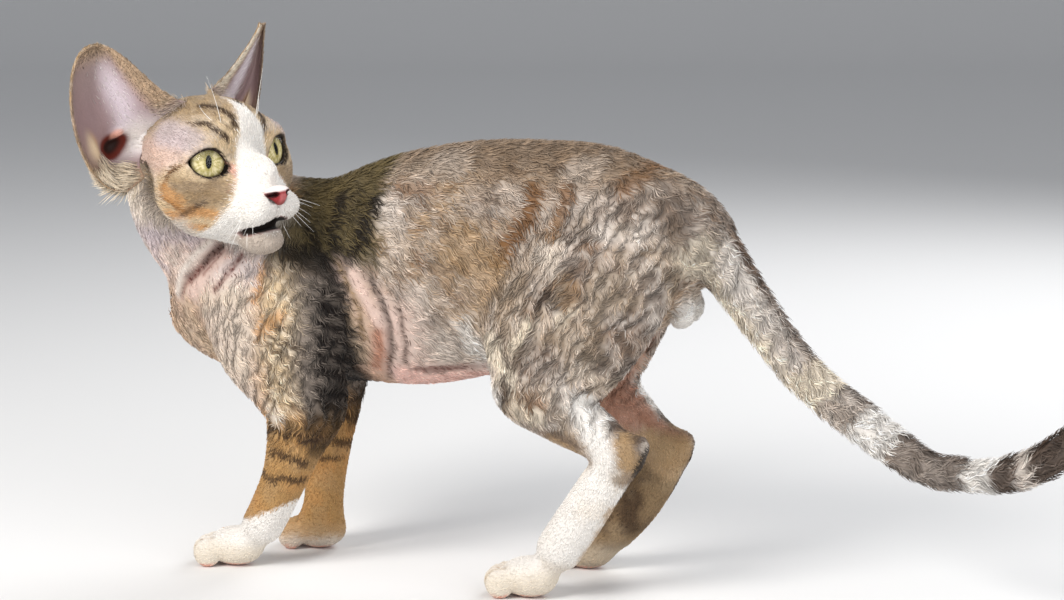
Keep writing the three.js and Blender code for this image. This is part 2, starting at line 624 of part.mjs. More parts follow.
// The cup of an ear: rows run from deep in the skull to the tip, columns from the inner to the outer edge.
function earCup(side, { inner, outer, backward, depthAtBase }) {
  const curve = (corners) => new THREE.CubicBezierCurve3(...corners.map(vector));
  const [innerEdge, outerEdge] = [curve(inner), curve(outer)];
  const root = vector([ear.root[0], side * ear.root[1], ear.root[2]]);
  const middle = (s, t) => {
    const up = Math.max(s - 0.2, 0) / 0.8;
    const point = innerEdge.getPoint(up).lerp(outerEdge.getPoint(up), t);
    point.addScaledVector(vector(backward), depthAtBase * (1 - up) ** 0.65 * Math.sin(Math.PI * t));
    if (s < 0.2) point.lerp(root, (0.2 - s) * 3.6);
    return point;
  };
  const face = (lift) => (s, t) => {
    const point = middle(s, t);
    const step = 0.01;
    const across = middle(s, Math.min(t + step, 1)).sub(middle(s, Math.max(t - step, 0)));
    const along = middle(Math.min(s + step, 1), t).sub(middle(Math.max(s - step, 0), t));
    const normal = across.cross(along).normalize();
    const edge = Math.min(1, 0.35 + 4 * Math.min(t, 1 - t, 1 - s));
    return point.addScaledVector(normal, (lift * ear.wall * edge) / 2);
  };
  return sheet(face(1), face(-1), ear.rows, ear.columns);
}

function addHead() {
  const noseForm = union(noseForms.map(ellipsoid));
  const noseBox = new THREE.Box3(vector([40, -12, -34]), vector([60, 12, -10]));
  const noseSurface = (grow) => surface((p) => noseForm(p) - grow, noseBox, steps.nose);
  const holes = [-1, 1].map((side) => solidOf(
    new THREE.SphereGeometry(1, 8, 6).scale(...nostril.radii),
    new THREE.Matrix4().makeTranslation(nostril.at[0], side * nostril.at[1], nostril.at[2])
      .multiply(new THREE.Matrix4().makeRotationZ(side * 0.5)),
  ));
  let face = headSurface(0).intersect(cell(headCut)).subtract(mouthSlit()).subtract(noseSurface(gap));
  for (const side of [-1, 1]) {
    face = face.add(lidRim(side)).subtract(lidOpening(side)).subtract(eyeBall(side, gap));
  }
  addNode(head, 'head', largest(face), colours.head);
  for (const [side, name] of [[1, 'left'], [-1, 'right']]) {
    const cup = earCup(side, earCups[name]).subtract(headSurface(gap));
    addNode(head, `ear_${name}`, largest(cup), colours.ear);
    addNode(head, `eye_${name}`, eyeBall(side), colours.eye, 0.1);
  }
  const nose = holes.reduce((body, hole) => body.subtract(hole), noseSurface(0));
  addNode(head, 'nose', largest(nose), colours.nose, 0.5);
}

addLegs();
addTail();
addTorsoAndNeck();
addHead();

// The origin is the middle of the floor under the whole cat.
cat.updateMatrixWorld(true);
const whole = new THREE.Box3().setFromObject(cat, true);
const centre = whole.getCenter(new THREE.Vector3());
cat.position.set(-centre.x, -centre.y, -whole.min.z);

const root = new THREE.Group();
root.add(cat);
root.updateMatrixWorld(true);
export default root;
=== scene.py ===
import math
import bpy
import numpy as np
from mathutils import Matrix, Vector


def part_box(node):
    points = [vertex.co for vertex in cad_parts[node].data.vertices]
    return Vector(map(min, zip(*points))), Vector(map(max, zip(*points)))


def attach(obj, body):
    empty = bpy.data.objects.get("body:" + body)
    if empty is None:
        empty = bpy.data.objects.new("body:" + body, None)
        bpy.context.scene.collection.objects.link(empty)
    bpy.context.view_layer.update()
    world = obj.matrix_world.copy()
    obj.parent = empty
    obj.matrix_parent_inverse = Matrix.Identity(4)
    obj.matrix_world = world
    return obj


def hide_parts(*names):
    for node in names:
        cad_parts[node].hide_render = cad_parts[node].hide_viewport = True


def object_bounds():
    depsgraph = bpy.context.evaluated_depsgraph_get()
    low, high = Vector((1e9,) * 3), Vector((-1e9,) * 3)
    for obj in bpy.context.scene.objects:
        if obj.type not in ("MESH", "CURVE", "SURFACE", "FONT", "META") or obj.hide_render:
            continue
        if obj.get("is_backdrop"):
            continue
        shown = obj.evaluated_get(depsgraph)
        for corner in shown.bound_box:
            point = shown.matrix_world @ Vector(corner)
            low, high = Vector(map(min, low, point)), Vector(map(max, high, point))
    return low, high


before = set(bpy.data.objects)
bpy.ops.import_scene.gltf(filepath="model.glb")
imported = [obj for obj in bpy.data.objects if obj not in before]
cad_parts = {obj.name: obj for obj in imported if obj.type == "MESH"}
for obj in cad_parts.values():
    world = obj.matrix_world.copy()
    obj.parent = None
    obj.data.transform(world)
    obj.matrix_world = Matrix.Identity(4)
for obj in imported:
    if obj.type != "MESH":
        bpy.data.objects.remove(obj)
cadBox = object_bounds()
random = np.random.default_rng(7)
far = 1000.0

# Where the head stands. Its own axes run forward, left and up from the point between the eyes.
headPose = {"yaw": 28, "pitch": 5, "roll": 5, "at": (-98.2, -45.2, 238.8)}
eye = {
    "at": (16.3, 20.4, 0), "radius": 11, "turnOut": 20, "tilt": 9,
    "halfLength": 11.3, "halfHeight": 8.0, "droop": 2.4,
}


def turned(angle, axis):
    return np.array(Matrix.Rotation(math.radians(angle), 3, axis))


headTurn = turned(-headPose["yaw"], "Z") @ turned(-headPose["pitch"], "Y") @ turned(headPose["roll"], "X")
headAt = np.array(headPose["at"])


def toHead(points):
    return (points - headAt) @ headTurn


def toCat(points):
    return np.asarray(points) @ headTurn.T + headAt


def placeInFrame():
    # The frame's origin is under the middle of the cat, so the left eye's ball gives the way there.
    low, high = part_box("eye_left")
    middle = (np.array(low) + np.array(high)) / 2
    return middle * 1000 - toCat(eye["at"])


shift = placeInFrame()


def toFrame(points):
    return (np.asarray(points, float) + shift) / 1000


def unit(vectors):
    return vectors / np.maximum(np.linalg.norm(vectors, axis=-1, keepdims=True), 1e-9)


def soft(value, start, end):
    # 0 before start, 1 after end, and a smooth S between.
    t = np.clip((value - start) / (end - start), 0, 1)
    return t * t * (3 - 2 * t)


def smoothMin(a, b, width):
    return np.minimum(a, b) - np.maximum(width - np.abs(a - b), 0) ** 2 / (4 * width)


# A table of seeded random numbers on a cubic lattice, read with smooth steps between its points.
lattice = random.random((32, 32, 32))


def noise(points, size, offset=0.0):
    place = points / size + offset
    cell = np.floor(place).astype(int)
    t = place - cell
    t = t * t * (3 - 2 * t)
    total = 0
    for corner in np.ndindex(2, 2, 2):
        i, j, k = [(cell[:, axis] + corner[axis]) % 32 for axis in range(3)]
        weight = np.prod([t[:, axis] if corner[axis] else 1 - t[:, axis] for axis in range(3)], axis=0)
        total = total + weight * lattice[i, j, k]
    return total


def cloud(points, size, offset=0.0):
    # Three octaves of noise, about 0 to 1.
    layers = [(1, 0.55), (2.1, 0.3), (4.3, 0.15)]
    return sum(share * noise(points, size / step, offset + 5.3 * step) for step, share in layers)


# The body's tubes. Each station is x, y, z, half width and half height of the section there.
trunk = [
    (-134, 0, 143, 19, 20), (-120, 0, 147, 27, 36), (-96, 0, 154, 34, 50), (-66, 0, 161, 38, 58),
    (-36, 0, 166, 41, 60), (0, 0, 173, 43, 67), (40, 0, 182, 44, 67), (80, 0, 187, 42, 64),
    (115, 0, 192, 40, 57), (143, 0, 199, 33, 39), (158, 0, 202, 24, 26), (166, 0, 205, 14, 14),
]
neck = [
    (-66, 0, 170, 36, 48), (-93, -2, 180, 36, 48), (-115, -7, 193, 34, 44), (-129, -15, 209, 32, 38),
    (-133, -22, 224, 30, 32), (-131, -28, 237, 26, 27),
]
tail = [
    (158, 0, 206, 16, 17), (170, 0, 197, 16, 17), (186, 0, 175, 14.5, 15), (209, -1, 145, 13, 13.5),
    (230, -3, 123, 12.5, 13), (262, -7, 101, 12.5, 13), (290, -11, 84.5, 11.2, 11.5),
    (309, -13, 82, 10.8, 10.8), (328, -16, 83, 10.8, 10.8), (346, -19, 89, 11.5, 11.8),
    (362, -22, 100, 11, 11), (374, -25, 114, 9.5, 9.5), (382, -27, 129, 6.8, 6.8), (386, -28, 140, 3, 3),
]
legs = {
    "foreLeft": {
        "tubes": [[
            (-63, -25, 196, 11, 28), (-77, -29, 172, 14, 35), (-76, -32, 142, 16, 37),
            (-61, -33, 119, 16, 33),
            (-55, -32, 99, 15, 27), (-60, -30, 80, 13.5, 19.5), (-69, -28, 56, 12.5, 14.5),
            (-77, -27, 39, 12, 13), (-84, -26, 26, 12, 12.5),
        ]],
        "pawAt": (-102, -25), "heading": 188,
    },
    "foreRight": {
        "tubes": [[
            (-58, 25, 196, 11, 28), (-70, 29, 172, 14, 35), (-70, 32, 142, 16, 35), (-65, 33, 119, 15.5, 28),
            (-63, 32, 99, 14.5, 21), (-63, 29, 78, 13, 16), (-65, 27, 58, 12, 13.6),
            (-67, 25, 40, 11.8, 12.5),
            (-68, 24, 26, 12, 12.2),
        ]],
        "pawAt": (-71, 24), "heading": 186,
    },
    "hindLeft": {
        "tubes": [
            [
                (131, -22, 216, 14, 26), (123, -30, 192, 17, 42), (107, -34, 165, 18.5, 45),
                (94, -36, 140, 18, 41), (88, -37, 122, 16, 32), (87, -37, 108, 13.5, 22),
            ],
            [
                (75, -37, 121, 13.5, 18), (96, -36, 107, 14, 19),
                (116, -35, 95, 12.5, 15.5), (131, -34, 84, 11, 12.5),
            ],
            [(131, -34, 84, 10, 11), (141, -33, 89, 7.5, 8)],
            [
                (133, -33, 83, 10.5, 12.5), (121, -33, 67, 12, 13.8),
                (109, -33, 48, 12.3, 13.8), (97, -33, 29, 12.8, 13.5),
            ],
        ],
        "pawAt": (79, -33), "heading": 184,
    },
    "hindRight": {
        "tubes": [
            [
                (131, 22, 216, 14, 26), (119, 30, 192, 17, 41), (106, 34, 165, 18.5, 41),
                (101, 36, 140, 17.5, 35), (98, 36, 122, 15.5, 29), (98, 36, 108, 13.5, 21),
            ],
            [
                (87, 36, 116, 13.5, 18), (107, 35, 101, 13.5, 18),
                (126, 34, 85, 12, 14.5), (141, 33, 74, 10.5, 12),
            ],
            [(141, 33, 74, 10, 11), (150, 32, 78, 7.5, 8)],
            [
                (143, 32, 72, 10.5, 12.5), (133, 32, 56, 12, 13.8),
                (121, 32, 38, 12.3, 13.8), (110, 32, 25, 12.8, 13.2),
            ],
        ],
        "pawAt": (93, 31), "heading": 180,
    },
}
paw = {
    "radii": (17, 12.5, 12), "blend": 10, "sink": 0.8,
    "toe": (8.5, 4.9, 9), "toeBlend": 2.5, "toeReach": 17, "toeSpacing": 5.8, "toeSpread": 7,
}
scrotum = [{"at": (157, -7, 160), "radii": (9.5, 7.5, 11.5)}, {"at": (159, 6, 161), "radii": (9, 7.5, 11)}]

# The head's ellipsoids in its own axes: place, radii, blend, and whether there is one on each side.
lidThickness = 2.4
headForms = [
    ((-15, 0, 6), (35, 31, 29), 1, False), ((8, 0, 12), (21, 25, 19), 12, False),
    ((-34, 0, -12), (22, 25, 26), 14, False), ((-4, 18, 0), (24, 18, 22), 10, True),
    ((7, 28, -7), (14, 12, 12), 9, True), ((3, 23, -17), (21, 17, 17), 10, True),
    ((6, 15, -31), (19, 14, 12), 10, True), ((21, 12, -22), (16, 12, 14), 10, True),
    ((28, 0, -9), (21, 10, 11), 12, False), ((32, 0, -25), (18, 13, 12), 8, False),
    ((15, 0, -39), (24, 14, 10.5), 8, False), ((31, 0, -47.5), (12, 10.5, 7), 9, False),
    ((39.5, 9, -28.5), (11, 10, 8.6), 6, True), ((17, 19, 9.5), (10, 13, 8), 8, True),
    (eye["at"], (eye["radius"] + lidThickness,) * 3, 6, True),
]


def splinePoints(stations, perSpan=4):
    # A Catmull-Rom line through the stations, with its ends carried on straight.
    rows = np.array(stations, float)
    rows = np.vstack([2 * rows[0] - rows[1], rows, 2 * rows[-1] - rows[-2]])
    t = np.linspace(0, 1, perSpan, endpoint=False)[:, None]
    spans = []
    for before, start, end, after in zip(rows, rows[1:], rows[2:], rows[3:]):
        line = 2 * start + (end - before) * t + (2 * before - 5 * start + 4 * end - after) * t**2
        spans.append((line + (3 * start - before - 3 * end + after) * t**3) / 2)
    return np.vstack([*spans, rows[-2:-1]])


class Tube:
    # Distance to a tube with elliptical sections, and the place along and round it.
    def __init__(self, stations, blend, sense=1):
        rows = splinePoints(stations)
        self.blend, self.sense = blend, sense
        self.start, self.end = rows[:-1], rows[1:]
        steps = self.end[:, :3] - self.start[:, :3]
        self.length = np.linalg.norm(steps, axis=1)
        self.axis = steps / self.length[:, None]
        self.side = unit(np.array([0.0, 1.0, 0.0]) - self.axis * self.axis[:, 1:2])
        self.normal = np.cross(self.axis, self.side)
        self.before = np.concatenate([[0], np.cumsum(self.length)])
        reach = rows[:, 4].max() + 20
        self.low, self.high = rows[:, :3].min(0) - reach, rows[:, :3].max(0) + reach

    def distance(self, points, place=None):
        inside = np.flatnonzero(np.all((points > self.low) & (points < self.high), axis=1))
        near = points[inside]
        best = np.full(len(near), far)
        along, around, flow = np.zeros(len(near)), np.zeros(len(near)), np.tile(self.axis[0], (len(near), 1))
        for i, length in enumerate(self.length):
            off = near - self.start[i, :3]
            forward = off @ self.axis[i]
            t = np.clip(forward / length, 0, 1)
            over = forward - t * length
            u, v = off @ self.side[i], off @ self.normal[i]
            wide = self.start[i, 3] + (self.end[i, 3] - self.start[i, 3]) * t
            high = self.start[i, 4] + (self.end[i, 4] - self.start[i, 4]) * t
            least = np.minimum(wide, high)
            ratio = np.sqrt((u / wide) ** 2 + (v / high) ** 2 + (over / least) ** 2) + 1e-6
            value = np.where(ratio > 0.05, np.sqrt(u * u + v * v + over * over) * (1 - 1 / ratio), -least)
            nearer = value < best
            best = np.where(nearer, value, best)
            if place is not None:
                along = np.where(nearer, self.before[i] + t * length, along)
                around = np.where(nearer, np.arctan2(u, v), around)
                flow[nearer] = self.axis[i]
        result = np.full(len(points), far)
        result[inside] = best
        if place is not None:
            place["flow"][inside] += flow * (self.sense * np.exp(-np.maximum(best, -4) / 4))[:, None]
            nearer = best < place["distance"][inside]
            chosen = inside[nearer]
            place["distance"][chosen] = best[nearer]
            place["along"][chosen] = along[nearer]
            place["round"][chosen] = around[nearer]
        return result


class Ellipsoid:
    # Distance to an ellipsoid whose forward axis is turned about Z.
    def __init__(self, at, radii, blend, heading=0.0):
        self.at, self.radii, self.blend = np.array(at, float), np.array(radii, float), blend
        self.turn = turned(heading, "Z")

    def distance(self, points, place=None):
        reach = self.radii.max() + 16
        inside = np.flatnonzero(np.all(np.abs(points - self.at) < reach, axis=1))
        scaled = (points[inside] - self.at) @ self.turn / self.radii
        near = np.linalg.norm(scaled, axis=1) + 1e-6
        result = np.full(len(points), far)
        result[inside] = near * (near - 1) / (np.linalg.norm(scaled / self.radii, axis=1) + 1e-6)
        return result


def union(forms, points, place=None):
    total = np.full(len(points), far)
    for form in forms:
        total = smoothMin(total, form.distance(points, place), form.blend)
    return total


def pawForms(leg):
    (x, y), turn = leg["pawAt"], math.radians(leg["heading"])

    def at(forward, side, z):
        ahead, across = math.cos(turn), math.sin(turn)
        return (x + forward * ahead - side * across, y + forward * across + side * ahead, z)

    forms = [Ellipsoid(at(0, 0, paw["radii"][2] - paw["sink"]), paw["radii"], paw["blend"], leg["heading"])]
    for i in (-1.5, -0.5, 0.5, 1.5):
        reach = paw["toeReach"] - 2.4 * (abs(i) - 0.5)
        middle = at(reach, paw["toeSpacing"] * i, paw["toe"][2] - paw["sink"])
        forms.append(Ellipsoid(middle, paw["toe"], paw["toeBlend"], leg["heading"] + paw["toeSpread"] * i))
    return forms


bodyForms = {
    "trunk": [Tube(trunk, 1)],
    "neck": [Tube(neck, 16, -1)],
    "tail": [Tube(tail, 9)],
    "scrotum": [Ellipsoid(lobe["at"], lobe["radii"], 3) for lobe in scrotum],
}
for legName, legShape in legs.items():
    bodyForms[legName] = [*[Tube(stations, 6) for stations in legShape["tubes"]], *pawForms(legShape)]
joinWidths = {"trunk": 1, "neck": 16, "tail": 9, "scrotum": 3, **{name: 12 for name in legs}}
skullForms = []
for at, radii, blend, paired in headForms:
    for side in (1, -1) if paired else (1,):
        skullForms.append(Ellipsoid((at[0], side * at[1], at[2]), radii, blend))

# The ears are cups: s runs from the root in the skull to the tip, t from the inner to the outer edge.
# The left ear is turned more to the back than the right one.
ear = {
    "wall": 1.5, "root": (-10, 22, 6), "rows": 96, "columns": 72,
    "left": {
        "side": 1, "backward": (-0.84, 0.51, -0.16), "depthAtBase": 24,
        "inner": [(-13, 11, 36), (-14, 21, 39), (-17, 56, 66), (-21, 57, 68)],
        "outer": [(-12, 30, 11), (-38, 63, 7), (-34, 68, 64), (-20, 61, 68)],
    },
    "right": {
        "side": -1, "backward": (-0.95, -0.3, -0.03), "depthAtBase": 22,
        "inner": [(2, -16, 33), (-1, -34, 37), (-9, -42, 67), (-13, -57, 70)],
        "outer": [(-11, -54, -10), (-18, -86, -10), (-20, -83, 69), (-13, -61, 70)],
    },
}


def bezier(corners, t):
    a, b, c, d = [np.array(corner, float) for corner in corners]
    t = t[..., None]
    return a * (1 - t) ** 3 + 3 * b * t * (1 - t) ** 2 + 3 * c * t * t * (1 - t) + d * t**3


def earMiddle(name, s, t):
    # A ruled sheet between the two edges, pushed back by a half sine that gets shallower to the tip.
    shape = ear[name]
    up = np.maximum(s - 0.2, 0) / 0.8
    point = bezier(shape["inner"], up) * (1 - t[..., None]) + bezier(shape["outer"], up) * t[..., None]
    depth = shape["depthAtBase"] * (1 - up) ** 0.65 * np.sin(math.pi * t)
    point = point + depth[..., None] * np.array(shape["backward"])
    sunk = (np.maximum(0.2 - s, 0) * 3.6)[..., None]
    return point * (1 - sunk) + np.array(ear["root"]) * (1, shape["side"], 1) * sunk


def earPoint(name, s, t, lift):
    # The sheet moved by lift along the normal of its hollow side.
    step = 0.01
    across = earMiddle(name, s, np.minimum(t + step, 1)) - earMiddle(name, s, np.maximum(t - step, 0))
    along = earMiddle(name, np.minimum(s + step, 1), t) - earMiddle(name, np.maximum(s - step, 0), t)
    normal = unit(np.cross(across, along)) * ear[name]["side"]
    point = earMiddle(name, s, t) + normal * np.asarray(lift)[..., None]
    return toCat(point), normal @ headTurn.T


def earSamples():
    s, t = np.meshgrid(np.linspace(0.1, 0.62, 44), np.linspace(0, 1, 40), indexing="ij")
    both = [earPoint(name, s.ravel(), t.ravel(), np.zeros(s.size)) for name in ("left", "right")]
    return [np.vstack(rows) for rows in zip(*both)]


earPlaces, earNormals = earSamples()


def earDistance(points):
    # Distance to the nearest sample's flat patch, so that the skin can rise smoothly to the ears.
    result = np.full(len(points), far)
    low, high = earPlaces.min(0) - 12, earPlaces.max(0) + 12
    inside = np.flatnonzero(np.all((points > low) & (points < high), axis=1))
    for chunk in np.array_split(inside, max(len(inside) // 4000, 1)):
        near = points[chunk]
        squares = (earPlaces**2).sum(1)[None] - 2 * near @ earPlaces.T
        pick = squares.argmin(1)
        off = near - earPlaces[pick]
        out = (off * earNormals[pick]).sum(1)
        flat = np.sqrt(np.maximum((off**2).sum(1) - out**2, 0))
        result[chunk] = np.hypot(out, np.maximum(flat - 1.5, 0))
    return result


def partsAt(points, place=None):
    parts = {name: union(forms, points, place) for name, forms in bodyForms.items()}
    headPoints = toHead(points)
    near = np.linalg.norm(headPoints, axis=1) < 110
    parts["head"] = np.full(len(points), far)
    parts["head"][near] = union(skullForms, headPoints[near])
    return parts


# Skin folds: width, depth and colour of each, and its line of x, y and z. A negative depth is a ridge. The
# creases' dark colours are painted shade over the skin's own reddish colour.
folds = [
    (3.2, -1.6, "blush", [(-20, -42, 176), (-12, -42, 161), (-5, -39, 145), (-3, -35, 134)]),
    (2.2, -1.2, "blush", [(1, -41, 154), (4, -38, 141), (5, -32, 129)]),
    (2.0, 2.8, "night", [
        (-10, -42, 173), (-4, -42, 161), (0, -40, 149),
        (-1, -35, 134), (-6, -28, 122), (-9, -21, 113),
    ]),
    (1.4, 1.7, "umber", [(6, -41, 158), (7, -40, 150), (8, -35, 136), (4, -30, 125)]),
    (3.6, 0.6, "groin", [(-7, -38, 143), (-8, -33, 132), (-13, -28, 122)]),
    (1.6, 1.2, "loam", [(-30, -41, 182), (-18, -41, 157), (-16, -36, 138)]),
    (2.6, -0.9, "pale", [(-106, -41, 191), (-118, -40, 181), (-129, -34, 170), (-136, -24, 157)]),
    (2.8, -1.0, "blush", [(-98, -42, 183), (-106, -42, 176), (-116, -38, 167), (-124, -34, 158)]),
    (2.5, 3.2, "wine", [(-102, -40, 187), (-107, -40, 182), (-114, -39, 175), (-124, -35, 167)]),
    (1.7, 1.0, "night", [(-100, -40, 188), (-107, -40, 183), (-113, -39, 177)]),
    (1.3, 1.6, "wine", [(-120, -37, 170), (-129, -31, 162), (-134, -27, 154)]),
    (0.9, 0.9, "wine", [(-98, -42, 186), (-106, -41, 178), (-113, -39, 171)]),
    (1.5, 2.2, "wine", [(-87, -42, 184), (-92, -43, 177), (-99, -43, 169), (-105, -42, 163)]),
    # painted shade along the belly's lower edge
    (1.8, 1.6, "wine", [(10, -28, 121), (30, -26, 123), (52, -26, 125), (66, -28, 128)]),
]
foldView = np.array([1, 0.3, 1])  # folds are placed in the side view, so their depth counts little


def lineDistance(points, line):
    best = np.full(len(points), far)
    for start, end in zip(np.array(line[:-1], float), np.array(line[1:], float)):
        step = end - start
        t = np.clip((points - start) @ step / (step @ step), 0, 1)
        best = np.minimum(best, np.linalg.norm(points - start - t[:, None] * step, axis=1))
    return best


def foldDistance(points, line):
    return lineDistance(points * foldView, line * foldView)


def foldDepth(points):
    total = np.zeros(len(points))
    for width, depth, _, line in folds:
        total += depth * np.exp(-((foldDistance(points, line) / width) ** 2))
    return total


def toeClefts(points):
    # 1 in the clefts between the toes, which run forward from the knuckles.
    total = np.zeros(len(points))
    low = np.flatnonzero(points[:, 2] < 20)
    for leg in legs.values():
        local = (points[low, :2] - leg["pawAt"]) @ turned(leg["heading"], "Z")[:2, :2]
        along, across = local.T
        front = soft(along, 10, 15) * soft(-along, -36, -30)
        for i in (-1, 0, 1):
            middle = i * paw["toeSpacing"] * (1 + 0.012 * (along - paw["toeReach"]))
            total[low] = np.maximum(total[low], bump(across, middle, 1.0) * front)
    return total


def foldColour(colour, points, pale=0.55):
    # Thin-haired pale skin beside the folds, then each fold in its own colour; the creases' dark colours are
    # painted shade.
    near = np.flatnonzero((points[:, 1] < -10) & (np.abs(points[:, 2] - 152) < 46) & (points[:, 0] < 80))
    places, shaded = points[near], colour.copy()
    tint = mix(colour[near], "blush", pale * foldShare(places))
    for width, _, shade, line in folds:
        tint = mix(tint, shade, 0.92 * np.exp(-((foldDistance(places, line) / width) ** 2)))
    shaded[near] = tint
    return shaded


def foldShare(points):
    # 1 on the folds of thin-haired skin, 0 a few widths away from them.
    reach = [foldDistance(points, line) / (1.5 + 1.4 * width) for width, _, _, line in folds]
    return np.exp(-(np.min(reach, axis=0) ** 2))


mouth = {
    "halfWidth": 15, "front": 45, "sweepBack": 11, "height": -37, "drop": 5.5,
    "open": 6, "shut": 0.6, "deep": 10,
}


def mouthCut(headPoints):
    # Inside the slit between the lips the value is below 0. The slit bends back and down to its corners.
    across = headPoints[:, 1] / mouth["halfWidth"]
    front = mouth["front"] - mouth["sweepBack"] * across**2
    line = mouth["height"] - mouth["drop"] * across**2
    gape = mouth["shut"] + (mouth["open"] - mouth["shut"]) * np.clip(1 - across**2, 0, 1)
    thin = np.abs(headPoints[:, 2] - line) - gape / 2
    inFront = front - mouth["deep"] - headPoints[:, 0]
    return np.maximum(np.maximum(thin, inFront), (np.abs(across) - 1) * mouth["halfWidth"])


def eyeFrame(side):
    turn = turned(side * eye["turnOut"], "Z") @ turned(side * eye["tilt"], "X")
    return turn, np.array(eye["at"]) * (1, side, 1)


def almondRatio(outward, up):
    # 1 on the line of the lids, a lens with pointed ends that droops to the nose, and less inside it.
    across, up = outward, up + eye["droop"] * soft(-outward, 3, 11)
    return np.sqrt((across / eye["halfLength"]) ** 2 + np.abs(up / eye["halfHeight"]) ** (4 / 3))


coatDepth = {"head": 0.7, "neck": 1.8, "trunk": 2.4, "tail": 3.2, "scrotum": 1.2, "leg": 1.9, "foot": 0.8}


def shares(parts, width=5.0):
    nearest = np.min(list(parts.values()), axis=0)
    weights = {name: np.exp(-(value - nearest) / width) for name, value in parts.items()}
    total = sum(weights.values())
    return {name: value / total for name, value in weights.items()}


def skinValue(points):
    # Below 0 inside the skin: the joined parts, drawn in by the coat's depth, with folds, mouth and sockets.
    parts = partsAt(points)
    body = np.full(len(points), far)
    for name, width in joinWidths.items():
        body = smoothMin(body, parts[name], width)
    headPoints = toHead(points)
    head = parts["head"]
    near = head < 30
    rise = np.maximum(head[near] - 7, 0) * 0.5
    head[near] = smoothMin(head[near], earDistance(points[near]) - 0.4 + rise, 8)
    joinHead = 3 + 9 * soft(-headPoints[:, 0], -2, 14)
    value = smoothMin(body, head, joinHead)
    part = shares(parts)
    footness = soft(-points[:, 2], -75, -30)
    depth = sum(part[name] * coatDepth[name] for name in ("head", "neck", "trunk", "tail", "scrotum"))
    legDepth = coatDepth["leg"] + (coatDepth["foot"] - coatDepth["leg"]) * footness
    depth += sum(part[name] for name in legs) * legDepth
    value = value + depth + foldDepth(points) + 2.0 * toeClefts(points)
    face = np.flatnonzero(np.linalg.norm(headPoints - (20, 0, -10), axis=1) < 60)
    facePoints, faceValue = headPoints[face], value[face]
    faceValue = -smoothMin(-faceValue, mouthCut(facePoints), 1.4)
    groove = np.hypot(facePoints[:, 1], 0.4 * np.maximum(49 - facePoints[:, 0], 0)) - 0.9
    groove = np.maximum(groove, np.abs(facePoints[:, 2] + 31.5) - 5.5)
    faceValue = -smoothMin(-faceValue, groove, 2)
    for side in (1, -1):
        turn, at = eyeFrame(side)
        local = (facePoints - at) @ turn
        tunnel = (almondRatio(side * local[:, 1], local[:, 2]) - 1.02) * eye["halfHeight"]
        tunnel = np.maximum(tunnel, 3 - local[:, 0])
        faceValue = -smoothMin(-faceValue, tunnel, 1)
    value[face] = faceValue
    return np.maximum(value, 0.25 - points[:, 2])


def gridLine(low, high, fine, coarse, fineLow, fineHigh):
    # Steps of the fine size between fineLow and fineHigh, growing to the coarse size outside.
    places, step = [fineLow], fine
    while places[-1] < high:
        step = step if places[-1] < fineHigh else min(step * 1.15, coarse)
        places.append(places[-1] + step)
    step = fine
    while places[0] > low:
        step = min(step * 1.15, coarse)
        places.insert(0, places[0] - step)
    return np.array(places)


def gridValues(value, lines, margin):
    # Exact values near the surface only: a coarse grid is read first and drawn out to the fine one.
    rough = [np.unique(np.append(np.arange(0, len(line), 4), len(line) - 1)) for line in lines]
    corners = np.stack(np.meshgrid(*[line[pick] for line, pick in zip(lines, rough)], indexing="ij"), axis=-1)
    values = value(corners.reshape(-1, 3)).reshape(corners.shape[:3])
    values = np.clip(values, -40, 40)
    for axis, (line, pick) in enumerate(zip(lines, rough)):
        places = np.searchsorted(line[pick], line, side="right") - 1
        places = np.clip(places, 0, len(pick) - 2)
        start, end = line[pick][places], line[pick][places + 1]
        t = ((line - start) / (end - start)).reshape([-1 if a == axis else 1 for a in range(3)])
        values = np.take(values, places, axis) * (1 - t) + np.take(values, places + 1, axis) * t
    near = np.argwhere(np.abs(values) < margin)
    points = np.stack([line[near[:, axis]] for axis, line in enumerate(lines)], axis=1)
    values[tuple(near.T)] = value(points)
    return values


def surfaceNet(values, lines):
    # One vertex in each grid cell that the surface crosses, at the mean of its edge crossings.
    inside = values < 0
    count = np.zeros([n - 1 for n in values.shape], np.int8)
    for a, b, c in np.ndindex(2, 2, 2):
        count += inside[a:a + count.shape[0], b:b + count.shape[1], c:c + count.shape[2]]
    crossed = (count > 0) & (count < 8)
    cells = np.argwhere(crossed)
    index = np.full(crossed.shape, -1, np.int32)
    index[crossed] = np.arange(len(cells))
    total, hits = np.zeros((len(cells), 3)), np.zeros(len(cells))
    for axis in range(3):
        others = [other for other in range(3) if other != axis]
        for corner in np.ndindex(2, 2):
            start = np.zeros(3, int)
            start[others] = corner
            end = start.copy()
            end[axis] = 1
            low, high = values[tuple((cells + start).T)], values[tuple((cells + end).T)]
            crosses = (low < 0) != (high < 0)
            t = np.where(crosses, low / np.where(crosses, low - high, 1), 0)
            place = np.stack([lines[a][cells[:, a] + start[a]] for a in range(3)], axis=1)
            place[:, axis] += (lines[axis][cells[:, axis] + 1] - place[:, axis]) * t
            total += place * crosses[:, None]
            hits += crosses
    quads = []
    for axis in range(3):
        b, c = [(1, 2), (2, 0), (0, 1)][axis]
        first, second = [slice(1, -1)] * 3, [slice(1, -1)] * 3
        first[axis], second[axis] = slice(0, -1), slice(1, None)
        here = inside[tuple(first)]
        edges = np.argwhere(here != inside[tuple(second)])
        outward = here[tuple(edges.T)]
        edges = edges + [0 if a == axis else 1 for a in range(3)]

        def cell(db, dc):
            place = edges.copy()
            place[:, b] -= db
            place[:, c] -= dc
            return index[tuple(place.T)]

        ring = np.stack([cell(1, 1), cell(0, 1), cell(0, 0), cell(1, 0)], axis=1)
        ring[~outward] = ring[~outward][:, ::-1]
        quads.append(ring)
    return total / hits[:, None], np.vstack(quads)


